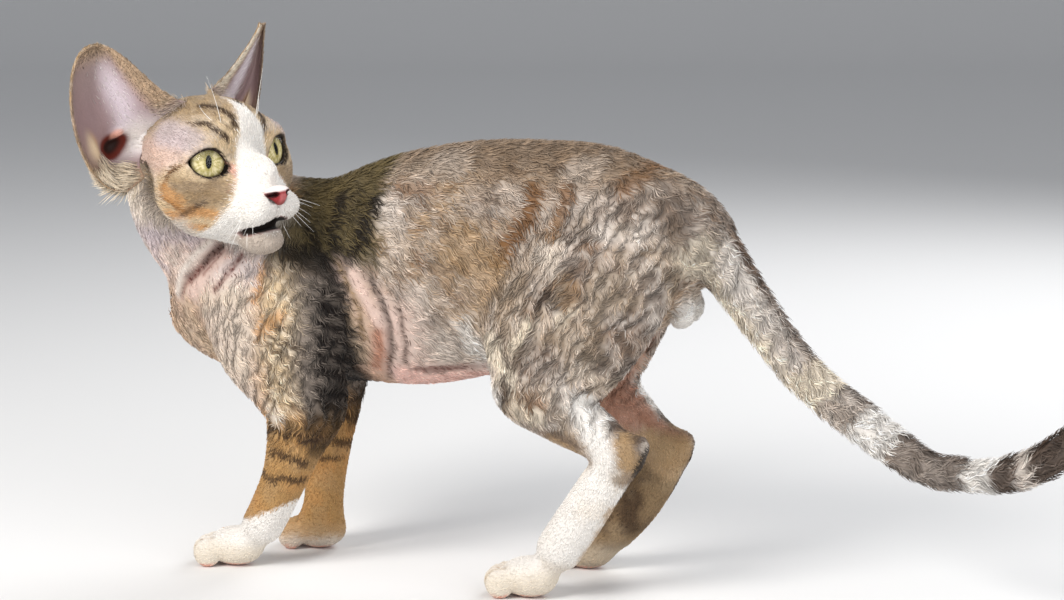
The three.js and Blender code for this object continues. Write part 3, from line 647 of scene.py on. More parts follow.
def settled(points, value, passes=2, most=0.8):
    # Newton steps onto the surface, all along the slope that the field has at the start.
    here = value(points)
    slope = np.stack([value(points + 0.15 * axis) - here for axis in np.eye(3)], axis=1) / 0.15
    steepness = np.maximum((slope**2).sum(1), 0.2)
    for turn in range(passes):
        here = value(points) if turn else here
        points = points + slope * np.clip(-here / steepness, -most, most)[:, None]
    return points


def makeMesh(name, points, faces, material, colours=None, smooth=True):
    mesh = bpy.data.meshes.new(name)
    mesh.vertices.add(len(points))
    mesh.vertices.foreach_set("co", toFrame(points).astype(np.float32).ravel())
    mesh.loops.add(faces.size)
    mesh.polygons.add(len(faces))
    mesh.polygons.foreach_set("loop_start", np.arange(0, faces.size, faces.shape[1], dtype=np.int32))
    mesh.polygons.foreach_set("vertices", faces.astype(np.int32).ravel())
    mesh.update(calc_edges=True)
    if smooth:
        mesh.shade_smooth()
    if colours is not None:
        layer = mesh.color_attributes.new("tint", "FLOAT_COLOR", "POINT")
        tints = np.column_stack([colours, np.ones(len(colours))]).astype(np.float32)
        layer.data.foreach_set("color", tints.ravel())
    mesh.materials.append(material)
    piece = bpy.data.objects.new(name, mesh)
    bpy.context.collection.objects.link(piece)
    return piece


def finished(piece, slotName, *nodes):
    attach(piece, "root")
    if nodes:
        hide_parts(*nodes)
    print("made", piece.name, len(piece.data.polygons))
    return piece


# Colours are given as they look on a screen and worked with as light.
def light(red, green, blue):
    return (np.array([red, green, blue]) / 255) ** 2.2


class Shader:
    # A socket of a material's nodes. Operators add Math nodes.
    def __init__(self, tree, socket):
        self.tree, self.socket = tree, socket

    def math(self, operation, *values):
        node = self.tree.nodes.new("ShaderNodeMath")
        node.operation = operation
        for slotPlace, value in enumerate(values):
            if isinstance(value, Shader):
                self.tree.links.new(value.socket, node.inputs[slotPlace])
            else:
                node.inputs[slotPlace].default_value = value
        return Shader(self.tree, node.outputs[0])

    def __add__(self, other):
        return self.math("ADD", self, other)

    def __mul__(self, other):
        return self.math("MULTIPLY", self, other)

    def __radd__(self, other):
        return self.math("ADD", other, self)

    __rmul__ = __mul__


class Finish:
    # A material and its nodes. node() makes one with its settings and with its inputs' values or links.
    def __init__(self, name):
        self.material = bpy.data.materials.new(name)
        self.material.use_nodes = True
        self.tree = self.material.node_tree
        self.surface = self.tree.nodes["Principled BSDF"]

    def node(self, kind, settings=None, **inputs):
        made = self.tree.nodes.new("ShaderNode" + kind)
        for key, value in (settings or {}).items():
            setattr(made, key, value)
        for key, value in inputs.items():
            self.put(made, key, value)
        return made

    def put(self, node, key, value):
        socket = node.inputs[int(key[1:]) if key[0] == "i" and key[1:].isdigit() else key.replace("_", " ")]
        if isinstance(value, Shader):
            self.tree.links.new(value.socket, socket)
        elif isinstance(value, bpy.types.NodeSocket):
            self.tree.links.new(value, socket)
        else:
            socket.default_value = value

    def set(self, **inputs):
        for key, value in inputs.items():
            self.put(self.surface, key, value)
        return self

    def value(self, node, output=0):
        return Shader(self.tree, node.outputs[output])


# The skin under the coat.
skinGrid = {
    "x": (-178, 396, 1.25, 2.7, -160, -50), "y": (-112, 62, 1.25, 2.7, -104, -12),
    "z": (-3, 280, 1.25, 2.7, 186, 280), "margin": 6,
}


# The coat's colours.
shades = {name: light(*rgb) for name, rgb in {
    "stone": (178, 160, 144), "pale": (224, 213, 203), "smoke": (112, 98, 88), "umber": (62, 44, 32),
    "rust": (124, 84, 44), "ginger": (204, 148, 90), "fawn": (180, 148, 108), "cream": (236, 223, 203),
    "snow": (246, 241, 235), "lilac": (198, 186, 192), "pink": (216, 160, 142), "blush": (222, 194, 182),
    "shadedOlive": (96, 84, 54), "tan": (182, 142, 92), "night": (28, 21, 17), "grey": (150, 138, 128),
    "groin": (184, 132, 108), "wine": (104, 44, 34), "bare": (240, 198, 186), "sand": (214, 190, 156),
    "loam": (146, 122, 92),
}.items()}

# Marks on both sides of the body: shade, strength, half width, and a line of x and z.
bodyMarks = [
    ("rust", 0.85, 5.5, [(80, 226), (78, 212), (69, 201), (62, 190)]),
    ("rust", 0.8, 4.5, [(100, 225), (97, 213), (96, 206)]),
    ("fawn", 0.65, 15, [(43, 198), (56, 182), (68, 165)]),
    ("smoke", 0.55, 5, [(64, 173), (60, 166)]),
    ("smoke", 0.6, 7, [(131, 184), (138, 174)]),
    ("smoke", 0.55, 8, [(151, 225), (161, 211), (159, 200)]),
    ("smoke", 0.4, 9, [(120, 168), (104, 160)]),
    ("rust", 0.5, 3, [(113, 199), (124, 199), (135, 199)]),
    ("rust", 0.55, 3.5, [(101, 180), (110, 178)]),
    ("rust", 0.5, 4, [(109, 174), (106, 168)]),
    ("rust", 0.6, 6, [(138, 237), (131, 231)]),
    ("umber", 0.6, 2.2, [(58, 222), (55, 219)]),
    ("umber", 0.5, 2.5, [(33, 209), (32, 204)]),
    ("umber", 0.6, 2, [(67, 238), (65, 236)]),
    ("umber", 0.6, 2, [(91, 237), (89, 235)]),
    ("rust", 0.5, 3, [(18, 190), (16, 186)]),
    ("rust", 0.45, 3.5, [(2, 222), (14, 224), (22, 222)]),
    ("pale", 0.3, 7, [(34, 237), (20, 236)]),
    ("pale", 0.5, 9, [(-2, 212), (5, 195)]),
    ("pale", 0.6, 7, [(92, 194), (100, 189)]),
    ("pale", 0.6, 7, [(125, 206), (138, 203)]),
    ("pale", 0.3, 7, [(110, 238), (100, 237)]),
    ("cream", 0.9, 7, [(165, 190), (171, 199), (168, 184)]),
    ("umber", 0.75, 2.6, [(98, 176), (89, 165), (83, 148), (79, 136)]),
    ("cream", 0.85, 3.6, [(86, 159), (77, 144)]),
    ("cream", 0.6, 3, [(110, 165), (100, 158)]),
    ("night", 0.85, 3.4, [(-50, 200), (-45, 192), (-40, 184)]),
    ("night", 0.5, 2.6, [(-62, 216), (-54, 203)]),
    ("night", 0.85, 3.4, [(-34, 218), (-38, 199), (-29, 181)]),
    ("night", 0.6, 2.4, [(-25, 220), (-24, 206)]),
    ("night", 0.9, 4.4, [(-12, 217), (-17, 204), (-19, 193), (-26, 181)]),
    ("night", 0.85, 6.5, [(-62, 189), (-46, 184), (-31, 178)]),
    ("ginger", 0.6, 2.6, [(-75, 181), (-74, 170), (-78, 162)]),
    ("umber", 0.6, 1.8, [(-71, 182), (-71, 173)]),
    ("ginger", 0.6, 3, [(-62, 153), (-70, 148), (-77, 143)]),
    ("blush", 0.7, 5, [(-98, 186), (-112, 174), (-122, 160)]),
    ("snow", 0.8, 6, [(42, 152), (45, 134), (54, 123)]),
    ("groin", 0.7, 4, [(-10, 142), (-10, 130)]),
    # painted shade along the belly's lower edge
    ("umber", 0.7, 2, [(8, 121), (24, 122), (34, 123)]),
]
foreMarks = [
    ("snow", 0.7, 7, [(-78, 118), (-71, 106), (-69, 96)]),
    ("umber", 0.9, 2.6, [(-76, 86), (-68, 87), (-57, 85), (-44, 81)]),
    ("umber", 0.55, 2.2, [(-66, 93), (-56, 90), (-48, 92)]),
    ("umber", 0.85, 2.4, [(-73, 72), (-64, 71), (-52, 65)]),
    ("umber", 0.9, 2.2, [(-84, 60), (-78, 58), (-68, 56), (-56, 56)]),
    ("umber", 0.8, 1.4, [(-95, 31), (-93, 28)]),
]
hindMarks = [
    ("snow", 0.95, 6, [(42, 152), (45, 134), (54, 123), (62, 115)]),
    ("cream", 0.85, 7, [(58, 146), (66, 136), (71, 126)]),
    ("umber", 0.8, 2.6, [(70, 139), (72, 136)]),
    ("umber", 0.8, 3.4, [(71, 126), (68, 116)]),
    ("rust", 0.55, 6, [(88, 116), (82, 113)]),
    ("umber", 0.7, 2.2, [(92, 102), (103, 105)]),
    ("cream", 0.7, 5, [(76, 112), (88, 104)]),
    ("fawn", 0.6, 6, [(96, 92), (106, 85)]),
    ("smoke", 0.7, 3.4, [(97, 96), (110, 88)]),
    ("umber", 0.75, 3.6, [(125, 103), (133, 100), (141, 95)]),
    ("fawn", 0.8, 6, [(134, 92), (138, 82)]),
    ("snow", 1, 7.5, [(112, 114), (118, 98), (124, 86), (122, 70)]),
    ("night", 0.9, 2.4, [(146, 88), (140, 70), (130, 54)]),
    ("fawn", 0.75, 3, [(129, 54), (119, 36), (110, 22)]),
]
# Marks on the face, the same on both sides. Their lines run in the head's forward, sideways and up.
faceMarks = [
    ("blush", 0.85, 11, [(-16, 34, 8), (-2, 36, 6), (9, 33, 9)]),
    ("lilac", 0.75, 9, [(-4, 30, 18), (8, 30, 17), (19, 29, 13)]),
    ("loam", 0.8, 8, [(14, 38, -11), (24, 29, -12), (29, 21, -15)]),
    ("loam", 0.6, 7, [(20, 34, -20), (26, 26, -22)]),
    ("sand", 0.75, 3.4, [(18, 36, -3), (25, 29, -7)]),
    ("sand", 0.8, 4, [(17, 31, -30), (8, 35, -32)]),
    ("umber", 0.95, 2.3, [(15, 23, 22), (20, 18, 21), (24, 17, 18), (27, 15, 15), (29, 11, 10)]),
    ("umber", 0.95, 2.2, [(8, 12, 30), (18, 8, 28), (22, 6, 25), (25, 4.5, 22), (28, 5, 17)]),
    ("umber", 0.7, 1.4, [(22, 12, 24), (26, 10, 20), (28, 8, 15)]),
    ("umber", 0.55, 2, [(0, 12, 33), (-8, 11, 35)]),
    ("umber", 0.5, 1.8, [(6, 18, 30), (-4, 20, 32)]),
    ("loam", 0.6, 4, [(12, 16, 29), (20, 12, 25)]),
    ("rust", 0.9, 2.2, [(4, 40, -10), (9, 40, -3), (13, 38, 0), (20, 35, 3)]),
    ("umber", 0.7, 1.2, [(9, 40, -4), (15, 37, 1)]),
    ("rust", 0.9, 2.6, [(3, 40, -16), (8, 40, -19), (12, 37, -23), (11, 36, -27)]),
    ("ginger", 0.8, 4, [(2, 38, -27), (12, 36, -27), (18, 33, -25), (25, 27, -28)]),
    ("ginger", 0.7, 5, [(5, 41, -12), (12, 38, -18)]),
    ("umber", 0.75, 1.9, [(9, 36, -27), (18, 33, -23), (23, 29, -21)]),
    ("ginger", 0.8, 3, [(8, 33, -34), (16, 27, -35)]),
    ("pink", 0.85, 2.8, [(27.5, 12.5, -4), (31, 11, -8), (32, 12, -13), (31, 15, -17)]),
    ("wine", 0.8, 1.1, [(31.5, 11.5, -8), (32.5, 11.5, -11)]),
]
# The white blaze's two edges, to the head's right and left, at each height.
blaze = {
    "up": [-60, -37, -26, -13, -4, 5, 14, 22, 27, 31],
    "right": [-32, -26, -21, -14, -10.5, -7, -3.5, -0.5, 1.5, 4],
    "left": [32, 26, 21, 14, 11.5, 12, 13, 11.5, 9, 5],
}


def mix(colour, shade, amount):
    return colour + (shades[shade] - colour) * np.clip(amount, 0, 1)[:, None]


def marked(colour, places, marks):
    for shade, strength, width, line in marks:
        reach = lineDistance(places, line)
        colour = mix(colour, shade, strength * soft(-reach, -1.35 * width, -0.4 * width))
    return colour


def clouds(colour, points, *layers):
    # Each layer is a shade, its size, where it starts in the noise, and its strength.
    for shade, size, start, strength in layers:
        colour = mix(colour, shade, strength * soft(cloud(points, size, start), 0.46, 0.64))
    return colour


def wobbled(points):
    # The side view's x and z, with an uneven edge given to whatever is drawn in them.
    shifts = [cloud(points, 9, start) * 7 - 3.5 for start in (2, 11)]
    return points[:, [0, 2]] + np.stack(shifts, axis=1)


def wavePhase(points):
    # The coat's waves slope down to the tail, 9.5 mm apart, and two clouds shift them unevenly.
    waves = (0.8 * points[:, 0] - 0.6 * points[:, 2]) / 9.5
    return 2 * math.pi * (waves + 3.4 * cloud(points, 20, 7) + 0.9 * cloud(points, 7, 2))


def trunkColour(points, side):
    x, z = side[:, 0], side[:, 1]
    colour = np.tile(shades["stone"], (len(points), 1))
    colour = clouds(colour, points, ("pale", 22, 1, 0.55), ("fawn", 34, 4, 0.55), ("smoke", 9, 9, 0.55))
    colour = clouds(colour, points, ("rust", 6, 3, 0.35), ("pale", 5, 8, 0.4))
    colour = mix(colour, "fawn", soft(z, 220, 242) * 0.6)
    colour = mix(colour, "smoke", soft(z, 224, 242) * 0.6)
    colour = mix(colour, "pale", soft(-z, -160, -134) * 0.6)
    colour = mix(colour, "blush", soft(-z, -178, -150) * soft(x, -24, -14) * soft(-x, -26, -6) * 0.7)
    colour = mix(colour, "bare", soft(-z, -128, -119))
    # The nape is painted dark olive: its own olive-brown darkened by the head's painted shadow.
    napeShade = soft(-x, 2, 14) * soft(z, 172, 190)
    colour = mix(colour, "shadedOlive", napeShade * 0.95)
    chest = soft(-x, 66, 84)
    colour = mix(colour, "pale", chest * 0.9)
    colour = mix(colour, "blush", chest * soft(cloud(points, 18, 6), 0.42, 0.6) * 0.6)
    colour = mix(colour, "lilac", chest * soft(cloud(points, 14, 12), 0.44, 0.62) * 0.55)
    colour = mix(colour, "lilac", soft(-x, 104, 116) * soft(z, 184, 196) * 0.8)
    colour = mix(colour, "cream", soft(-x, 112, 122) * soft(z, 192, 210) * 0.7)
    colour = mix(colour, "fawn", soft(-x, 4, 12) * soft(-z, -176, -160) * 0.6)
    shoulder = soft(-x, 17, 29) * soft(-z, -188, -170) * soft(x, -80, -66)
    wave = np.sin(2 * math.pi * ((z + 0.4 * x) / 9 + 1.1 * cloud(points, 22, 5)))
    marble = shades["sand"] + (shades["grey"] - shades["sand"]) * soft(x, -66, -46)[:, None]
    dark = soft(x, -64, -34) * (0.4 + 0.6 * soft(wave, -0.5, 0.5)) + 0.4 * soft(x, -46, -34)
    marble = mix(marble, "night", dark)
    patches = soft(-x, 46, 56) * soft(cloud(points, 12, 3), 0.4, 0.6)
    marble = mix(marble, "umber", soft(wave, 0.1, 0.8) * patches * 0.75)
    marble = mix(marble, "cream", soft(-wave, 0.2, 0.8) * soft(-x, 50, 60) * 0.6)
    colour = colour + (marble - colour) * shoulder[:, None]
    return marked(colour, side, bodyMarks)


def foreColour(points, side):
    x, z = side[:, 0], side[:, 1]
    upper = trunkColour(points, side)
    colour = np.tile(shades["tan"], (len(points), 1))
    colour = clouds(colour, points, ("ginger", 14, 3, 0.4), ("fawn", 9, 8, 0.4))
    # Painted shade down the rear edge of the forearm.
    colour = mix(colour, "night", soft(x, -54, -46) * soft(z, 60, 80) * 0.8)
    colour = marked(colour, side, foreMarks)
    colour = colour + (upper - colour) * soft(z, 88, 104)[:, None]
    colour = mix(colour, "snow", soft(x, -74, -84) * soft(z, 96, 106) * 0.3)
    edge = points[:, 2] + (side[:, 1] - points[:, 2]) * 0.35 - 33 - (points[:, 0] + 85) * 0.42
    near = points[:, 1] < 0
    colour = mix(colour, "snow", np.where(near, soft(-edge, -0.8, 0.8), soft(-z, -12, -6) * 0.6))
    return mix(colour, "cream", soft(-z, -20, -8) * np.where(near, 0.8, 0.2))


def hindColour(points, side):
    right = points[:, 1] > 0
    side = side + np.where(right[:, None], [-9.0, 9.0], [0.0, 0.0])
    x, z = side[:, 0], side[:, 1]
    colour = np.tile(shades["grey"], (len(points), 1))
    colour = clouds(colour, points, ("stone", 16, 3, 0.6), ("pale", 8, 8, 0.8))
    colour = clouds(colour, points, ("rust", 12, 5, 0.35), ("smoke", 6, 2, 0.5))
    # Umber in the waves' troughs, partly the coat's own brown and partly painted shade, and painted light on
    # their crests.
    valleyShade = soft(-np.sin(wavePhase(points)), 0.1, 0.9) * soft(z, 96, 110)
    colour = mix(colour, "umber", valleyShade * soft(cloud(points, 18, 3), 0.4, 0.6) * 0.4)
    colour = mix(colour, "pale", soft(np.sin(wavePhase(points)), 0.3, 0.9) * soft(z, 96, 110) * 0.3)
    colour = marked(colour, side, [mark for mark in bodyMarks if mark[3][0][0] > 70])
    inner = soft(-np.abs(points[:, 1]), -33, -27)
    colour = mix(colour, "groin", inner * soft(z, 86, 98) * soft(-z, -168, -150) * 0.75)
    colour = mix(colour, "fawn", inner * soft(-z, -98, -88) * 0.85)
    foot = soft(-(z + 0.55 * (x - 120)), -78, -73)
    # The near hind foot is white; the far one is painted loam and umber, partly its own brown and partly
    # painted shade.
    colour = mix(colour, "snow", foot * ~right)
    colour = mix(colour, "loam", foot * right)
    colour = mix(colour, "umber", foot * right * soft(cloud(points, 16, 9), 0.36, 0.6) * 0.8)
    colour = clouds(colour, points, ("sand", 20, 4, 0.2))
    strokes = marked(colour, side, hindMarks)
    keep = right & (inner > 0.3)
    colour = np.where(keep[:, None], colour, strokes)
    colour = mix(colour, "cream", soft(-points[:, 2], -22, -10) * np.where(right, 0.4, 0.8))
    return colour


def tailColour(points, place):
    along, top = place["along"], np.abs(place["round"]) / math.pi
    along = along + 9 * (cloud(points, 8, 6) - 0.5) + 5 * top
    colour = np.tile(shades["pale"], (len(points), 1))
    colour = clouds(colour, points, ("stone", 9, 2, 0.6), ("grey", 7, 8, 0.5))
    colour = mix(colour, "snow", soft(-along, -120, -30) * 0.45)
    colour = mix(colour, "cream", soft(top, 0.45, 0.75) * soft(-along, -150, -60))
    colour = mix(colour, "rust", soft(-top, -0.22, -0.06) * soft(-along, -110, -20) * 0.8)
    colour = mix(colour, "smoke", soft(along, 110, 165) * 0.6)
    colour = mix(colour, "umber", soft(along, 160, 250) * 0.75)
    colour = mix(colour, "umber", soft(-top, -0.25, -0.05) * 0.6)
    for shade, at, half in (("cream", 110, 11), ("snow", 152, 12), ("snow", 215, 9), ("pale", 240, 4.5)):
        colour = mix(colour, shade, soft(-np.abs(along - at), -half - 1.5, -half + 1.5) * 0.92)
    return mix(colour, "night", soft(along, 268, 285) * 0.8)


def headColour(points):
    local = toHead(points)
    forward, up = local[:, 0], local[:, 2]
    colour = np.tile(shades["sand"], (len(points), 1))
    colour = clouds(colour, points, ("fawn", 8, 3, 0.35), ("pale", 6, 8, 0.4))
    colour = mix(colour, "loam", soft(up - 0.6 * forward, 8, 24) * 0.6)
    colour = mix(colour, "stone", soft(-forward, 14, 30))
    warped = local + (np.stack([cloud(points, 5, start) for start in (2, 6, 9)], axis=1) - 0.5) * 1.8
    sideways = warped[:, 1].copy()
    warped[:, 1] = np.abs(warped[:, 1])
    colour = marked(colour, warped, faceMarks)
    speckle = soft(noise(points, 1.1, 5), 0.55, 0.8) - soft(-noise(points, 1.3, 9), -0.4, -0.2)
    colour = colour * (1 - 0.3 * speckle * soft(forward, 0, 12))[:, None]
    colour = mix(colour, "pale", soft(-up + 0.25 * forward, 27, 33) * soft(-forward, -16, 0))
    edges = [np.interp(up, blaze["up"], blaze[name]) for name in ("right", "left")]
    within = np.minimum(sideways - edges[0], edges[1] - sideways)
    colour = mix(colour, "snow", soft(within, -1, 1) * soft(forward, 2, 10))
    colour = mix(colour, "snow", soft(forward - 0.3 * up, 39, 42))
    return mix(colour, "stone", soft(-up, 40, 43) * soft(forward, 16, 26) * 0.8)


def partColour(name, points, side, place):
    if name in ("trunk", "neck"):
        return trunkColour(points, side)
    if name in ("foreLeft", "foreRight"):
        return foreColour(points, side)
    if name in ("hindLeft", "hindRight"):
        return hindColour(points, side)
    if name == "tail":
        return tailColour(points, place)
    if name == "head":
        return headColour(points)
    return np.tile(shades["snow"], (len(points), 1))


def coatColour(points, parts, place):
    # Each part's colours, weighed by how near the part is.
    side = wobbled(points)
    total = np.zeros((len(points), 3))
    for name, share in shares(parts, 2.5).items():
        at = np.flatnonzero(share > 0.004)
        if len(at):
            own = {key: place[key][at] for key in ("along", "round")}
            total[at] += share[at, None] * partColour(name, points[at], side[at], own)
    # Painted shade in the clefts between the toes, then the folds.
    return foldColour(mix(total, "tan", 0.8 * toeClefts(points)), points)


def emptyPlace(count):
    place = {"distance": np.full(count, far), "flow": np.zeros((count, 3))}
    return {**place, "along": np.zeros(count), "round": np.zeros(count)}


class Field:
    # The skin's values on the grid, read between its points with their slope.
    def __init__(self, values, lines):
        self.lines = lines
        self.layers = np.stack([values, *np.gradient(values, *lines)], axis=-1).astype(np.float32)

    def read(self, points):
        cells, steps = [], []
        for axis, line in enumerate(self.lines):
            cell = np.clip(np.searchsorted(line, points[:, axis], side="right") - 1, 0, len(line) - 2)
            cells.append(cell)
            steps.append(np.clip((points[:, axis] - line[cell]) / (line[cell + 1] - line[cell]), 0, 1))
        total = 0
        for corner in np.ndindex(2, 2, 2):
            weight = np.prod([t if up else 1 - t for t, up in zip(steps, corner)], axis=0)
            total = total + weight[:, None] * self.layers[tuple(cell + up for cell, up in zip(cells, corner))]
        return total[:, 0], unit(total[:, 1:])


def makeSkinField():
    lines = [gridLine(*skinGrid[axis]) for axis in "xyz"]
    values = gridValues(skinValue, lines, skinGrid["margin"])
    points, quads = surfaceNet(values, lines)
    points = settled(points, skinValue)
    print("skin", len(points), len(quads), "grid", values.shape)
    return points, quads, Field(values, lines)


def nearestPart(parts):
    names = list(parts)
    return names, np.argmin(np.stack([parts[name] for name in names]), axis=0)


# Tufts by part: number on 100 square mm, length, width, height at the tip and how far they swing.
coat = {
    "trunk": (33, 8, 0.37, 1.6, 0.45), "neck": (34, 5, 0.36, 0.9, 0.3), "tail": (41, 8.5, 0.37, 2.6, 0.9),
    "scrotum": (70, 4, 0.34, 0.8, 0.2), "leg": (40, 6.2, 0.38, 1.4, 0.65), "foot": (84, 2.6, 0.28, 0.45, 0.1),
    "head": (98, 3.1, 0.28, 0.6, 0.12),
}
# A lock's widths, sink and ridge, the painted shade at its root (shadow), the painted light at its tip
# (glow), and the spread of its brightness.
tuftProfile = {
    "width": [0.8, 1.0, 0.72], "sunk": 0.5, "ridge": 0.8, "shadow": 0.8, "glow": 1.08, "spread": 0.17,
}


def coatMeasures(points, parts):
    # The tufts' sizes at each place, from the share that each part has there.
    part = shares(parts, 3)
    hind = part["hindLeft"] + part["hindRight"] > part["foreLeft"] + part["foreRight"]
    onFoot = soft(-points[:, 2], np.where(hind, -112.0, -96.0), np.where(hind, -92.0, -60.0))
    weights = {name: part[name] for name in ("trunk", "neck", "tail", "scrotum", "head")}
    legShare = sum(part[name] for name in legs)
    weights["leg"], weights["foot"] = legShare * (1 - onFoot), legShare * onFoot
    total = sum(weights[name][:, None] * np.array(coat[name]) for name in weights)
    density, length, width, height, swing = total.T
    curly = soft(points[:, 0], 70, 130) * soft(points[:, 2], 84, 100) * (1 - part["tail"])
    shoulder = soft(-points[:, 0], 14, 30) * soft(points[:, 0], -94, -78)
    shoulder = shoulder * soft(-points[:, 2], -180, -165) * soft(points[:, 2], 82, 95) * (1 - part["head"])
    local = toHead(points)
    ruff = part["head"] * soft(-local[:, 0], -10, 6) * soft(-local[:, 2], 4, 18)
    length, height, width = length + 5.5 * ruff, height + 1.6 * ruff, width + 0.05 * ruff
    folded = foldShare(points)
    bare = np.maximum(part["trunk"] * soft(-points[:, 2], -134, -118), 0.9 * folded)
    swing = swing + 0.4 * np.maximum(curly, shoulder)
    short = 1 - 0.6 * bare
    return density / 100 * (1 - 0.75 * folded), length * short, width, height * short, swing


def coatLie(points, normals, parts, place):
    # Hair runs back along the body and down its sides, down the legs, and away from the nose on the head.
    part = shares(parts, 3)
    lie = unit(place["flow"])
    down = (part["trunk"] + 0.5 * (part["hindLeft"] + part["hindRight"])) * np.abs(normals[:, 1]) * 0.8
    lie[:, 2] -= down
    local = toHead(points)
    away = unit(local - (58, 0, -22)) @ headTurn.T
    lie = lie * (1 - part["head"])[:, None] + away * part["head"][:, None]
    for name, shape in legs.items():
        turn = math.radians(shape["heading"])
        ahead = np.array([math.cos(turn), math.sin(turn), -0.35])
        toes = (part[name] * soft(-points[:, 2], -30, -16))[:, None]
        lie = lie * (1 - toes) + ahead * toes
    lie = lie + 0.22 * (np.stack([noise(points, 14, start) for start in (3, 8, 13)], axis=1) - 0.5)
    return unit(lie - normals * (lie * normals).sum(1)[:, None])


def scatter(points, quads, share):
    # Even picks along the running total of area times density, then a random place in each face picked.
    corners = [points[quads[:, i]] for i in range(4)]
    area = np.linalg.norm(np.cross(corners[2] - corners[0], corners[3] - corners[1]), axis=1) / 2
    running = np.cumsum(area * share)
    picks = np.searchsorted(running, (np.arange(int(running[-1])) + random.random(int(running[-1]))))
    picks = np.minimum(picks, len(quads) - 1)
    u, v = random.random((2, len(picks), 1))
    a, b, c, d = [corner[picks] for corner in corners]
    return (a * (1 - u) + b * u) * (1 - v) + (d * (1 - u) + c * u) * v


def unwrap(names, nearest, points, place):
    # The skin's own map: along and round each tube, and round the middle of the head.
    u, v = place["along"] / 420, place["round"] / (2 * math.pi) + 0.5
    local = toHead(points) - (0, 0, -10)
    onHead = np.array(names)[nearest] == "head"
    u = np.where(onHead, np.arctan2(local[:, 1], local[:, 0]) / (2 * math.pi) + 0.5, u)
    v = np.where(onHead, np.arcsin(np.clip(unit(local)[:, 2], -1, 1)) / math.pi + 0.5, v)
    return np.clip(np.stack([u, v], axis=1), 0.004, 0.996)


def tuftFaces(rings):
    # Three sides between the rings, three to the tip and one across the root.
    faces = []
    for ring in range(rings - 1):
        for p, q in ((0, 1), (1, 2), (2, 0)):
            low, high = 3 * ring, 3 * ring + 3
            faces += [(low + p, low + q, high + p), (low + q, high + q, high + p)]
    last = 3 * (rings - 1)
    faces += [(last + p, last + q, last + 3) for p, q in ((0, 1), (1, 2), (2, 0))]
    return np.array(faces + [(0, 2, 1)])


def growTufts(roots, colours, lies, sizes, field, rings):
    # A three-sided lock for each root. It runs over the skin, rises to its tip and swings with the waves.
    length, width, height, swing = sizes
    steps = np.linspace(0, 1, rings + 1)
    rows, tints, place = [], [], roots
    low = soft(-height, -1.2, -0.4)
    brightness = 1 + tuftProfile["spread"] * (1 - 0.6 * low) * random.normal(size=len(roots))
    clumps = noise(roots, 2.6, 3) + noise(roots, 5.5, 8) - 1
    brightness = brightness * (1 + 0.5 * swing.clip(0, 0.8) * clumps)
    for ring, step in enumerate(steps):
        value, up = field.read(place)
        level = -tuftProfile["sunk"] + (height + tuftProfile["sunk"]) * step**0.75
        place = place + up * (level - value)[:, None]
        place[:, 2] = np.maximum(place[:, 2], 0.6)
        heading = unit(lies - up * (lies * up).sum(1)[:, None])
        side = np.cross(up, heading)
        wave = np.sin(wavePhase(place))
        # Painted shade at the root, painted light toward the tip, and painted light and shade on the waves'
        # crests and troughs.
        shadow = tuftProfile["shadow"] + 0.12 * low
        glow = shadow + (tuftProfile["glow"] - shadow) * step
        tint = foldColour(colours, place, 0) * (brightness * glow * (1 + 0.34 * swing * wave))[:, None]
        if ring < rings:
            half = (width * tuftProfile["width"][ring if rings == 3 else 2 * ring])[:, None]
            rows += [place + side * half, place + up * half * tuftProfile["ridge"], place - side * half]
            tints += [tint] * 3
            bend = swing * wave
            heading = heading * np.cos(bend)[:, None] + side * np.sin(bend)[:, None]
            place = place + heading * (length * (steps[ring + 1] - step))[:, None]
        else:
            rows.append(place)
            tints.append(tint)
    return np.stack(rows, axis=1), np.clip(np.stack(tints, axis=1), 0, 1)


def tuftPiece(name, rows, tints, corners, rings, material):
    count, perTuft = rows.shape[:2]
    faces = (tuftFaces(rings)[None] + perTuft * np.arange(count)[:, None, None]).reshape(-1, 3)
    piece = makeMesh(name, rows.reshape(-1, 3), faces, material, tints.reshape(-1, 3))
    patch = [(0.001 * ring, 0.0012 * (1 - column)) for ring in range(rings) for column in range(3)]
    spots = (corners[:, None] + np.array([*patch, (0.0028, 0)])).reshape(-1, 2)
    layer = piece.data.uv_layers.new(name="OFBake")
    layer.data.foreach_set("uv", spots[faces.ravel()].astype(np.float32).ravel())
    return piece


footTop, trianglesPerPiece = 50, 190000


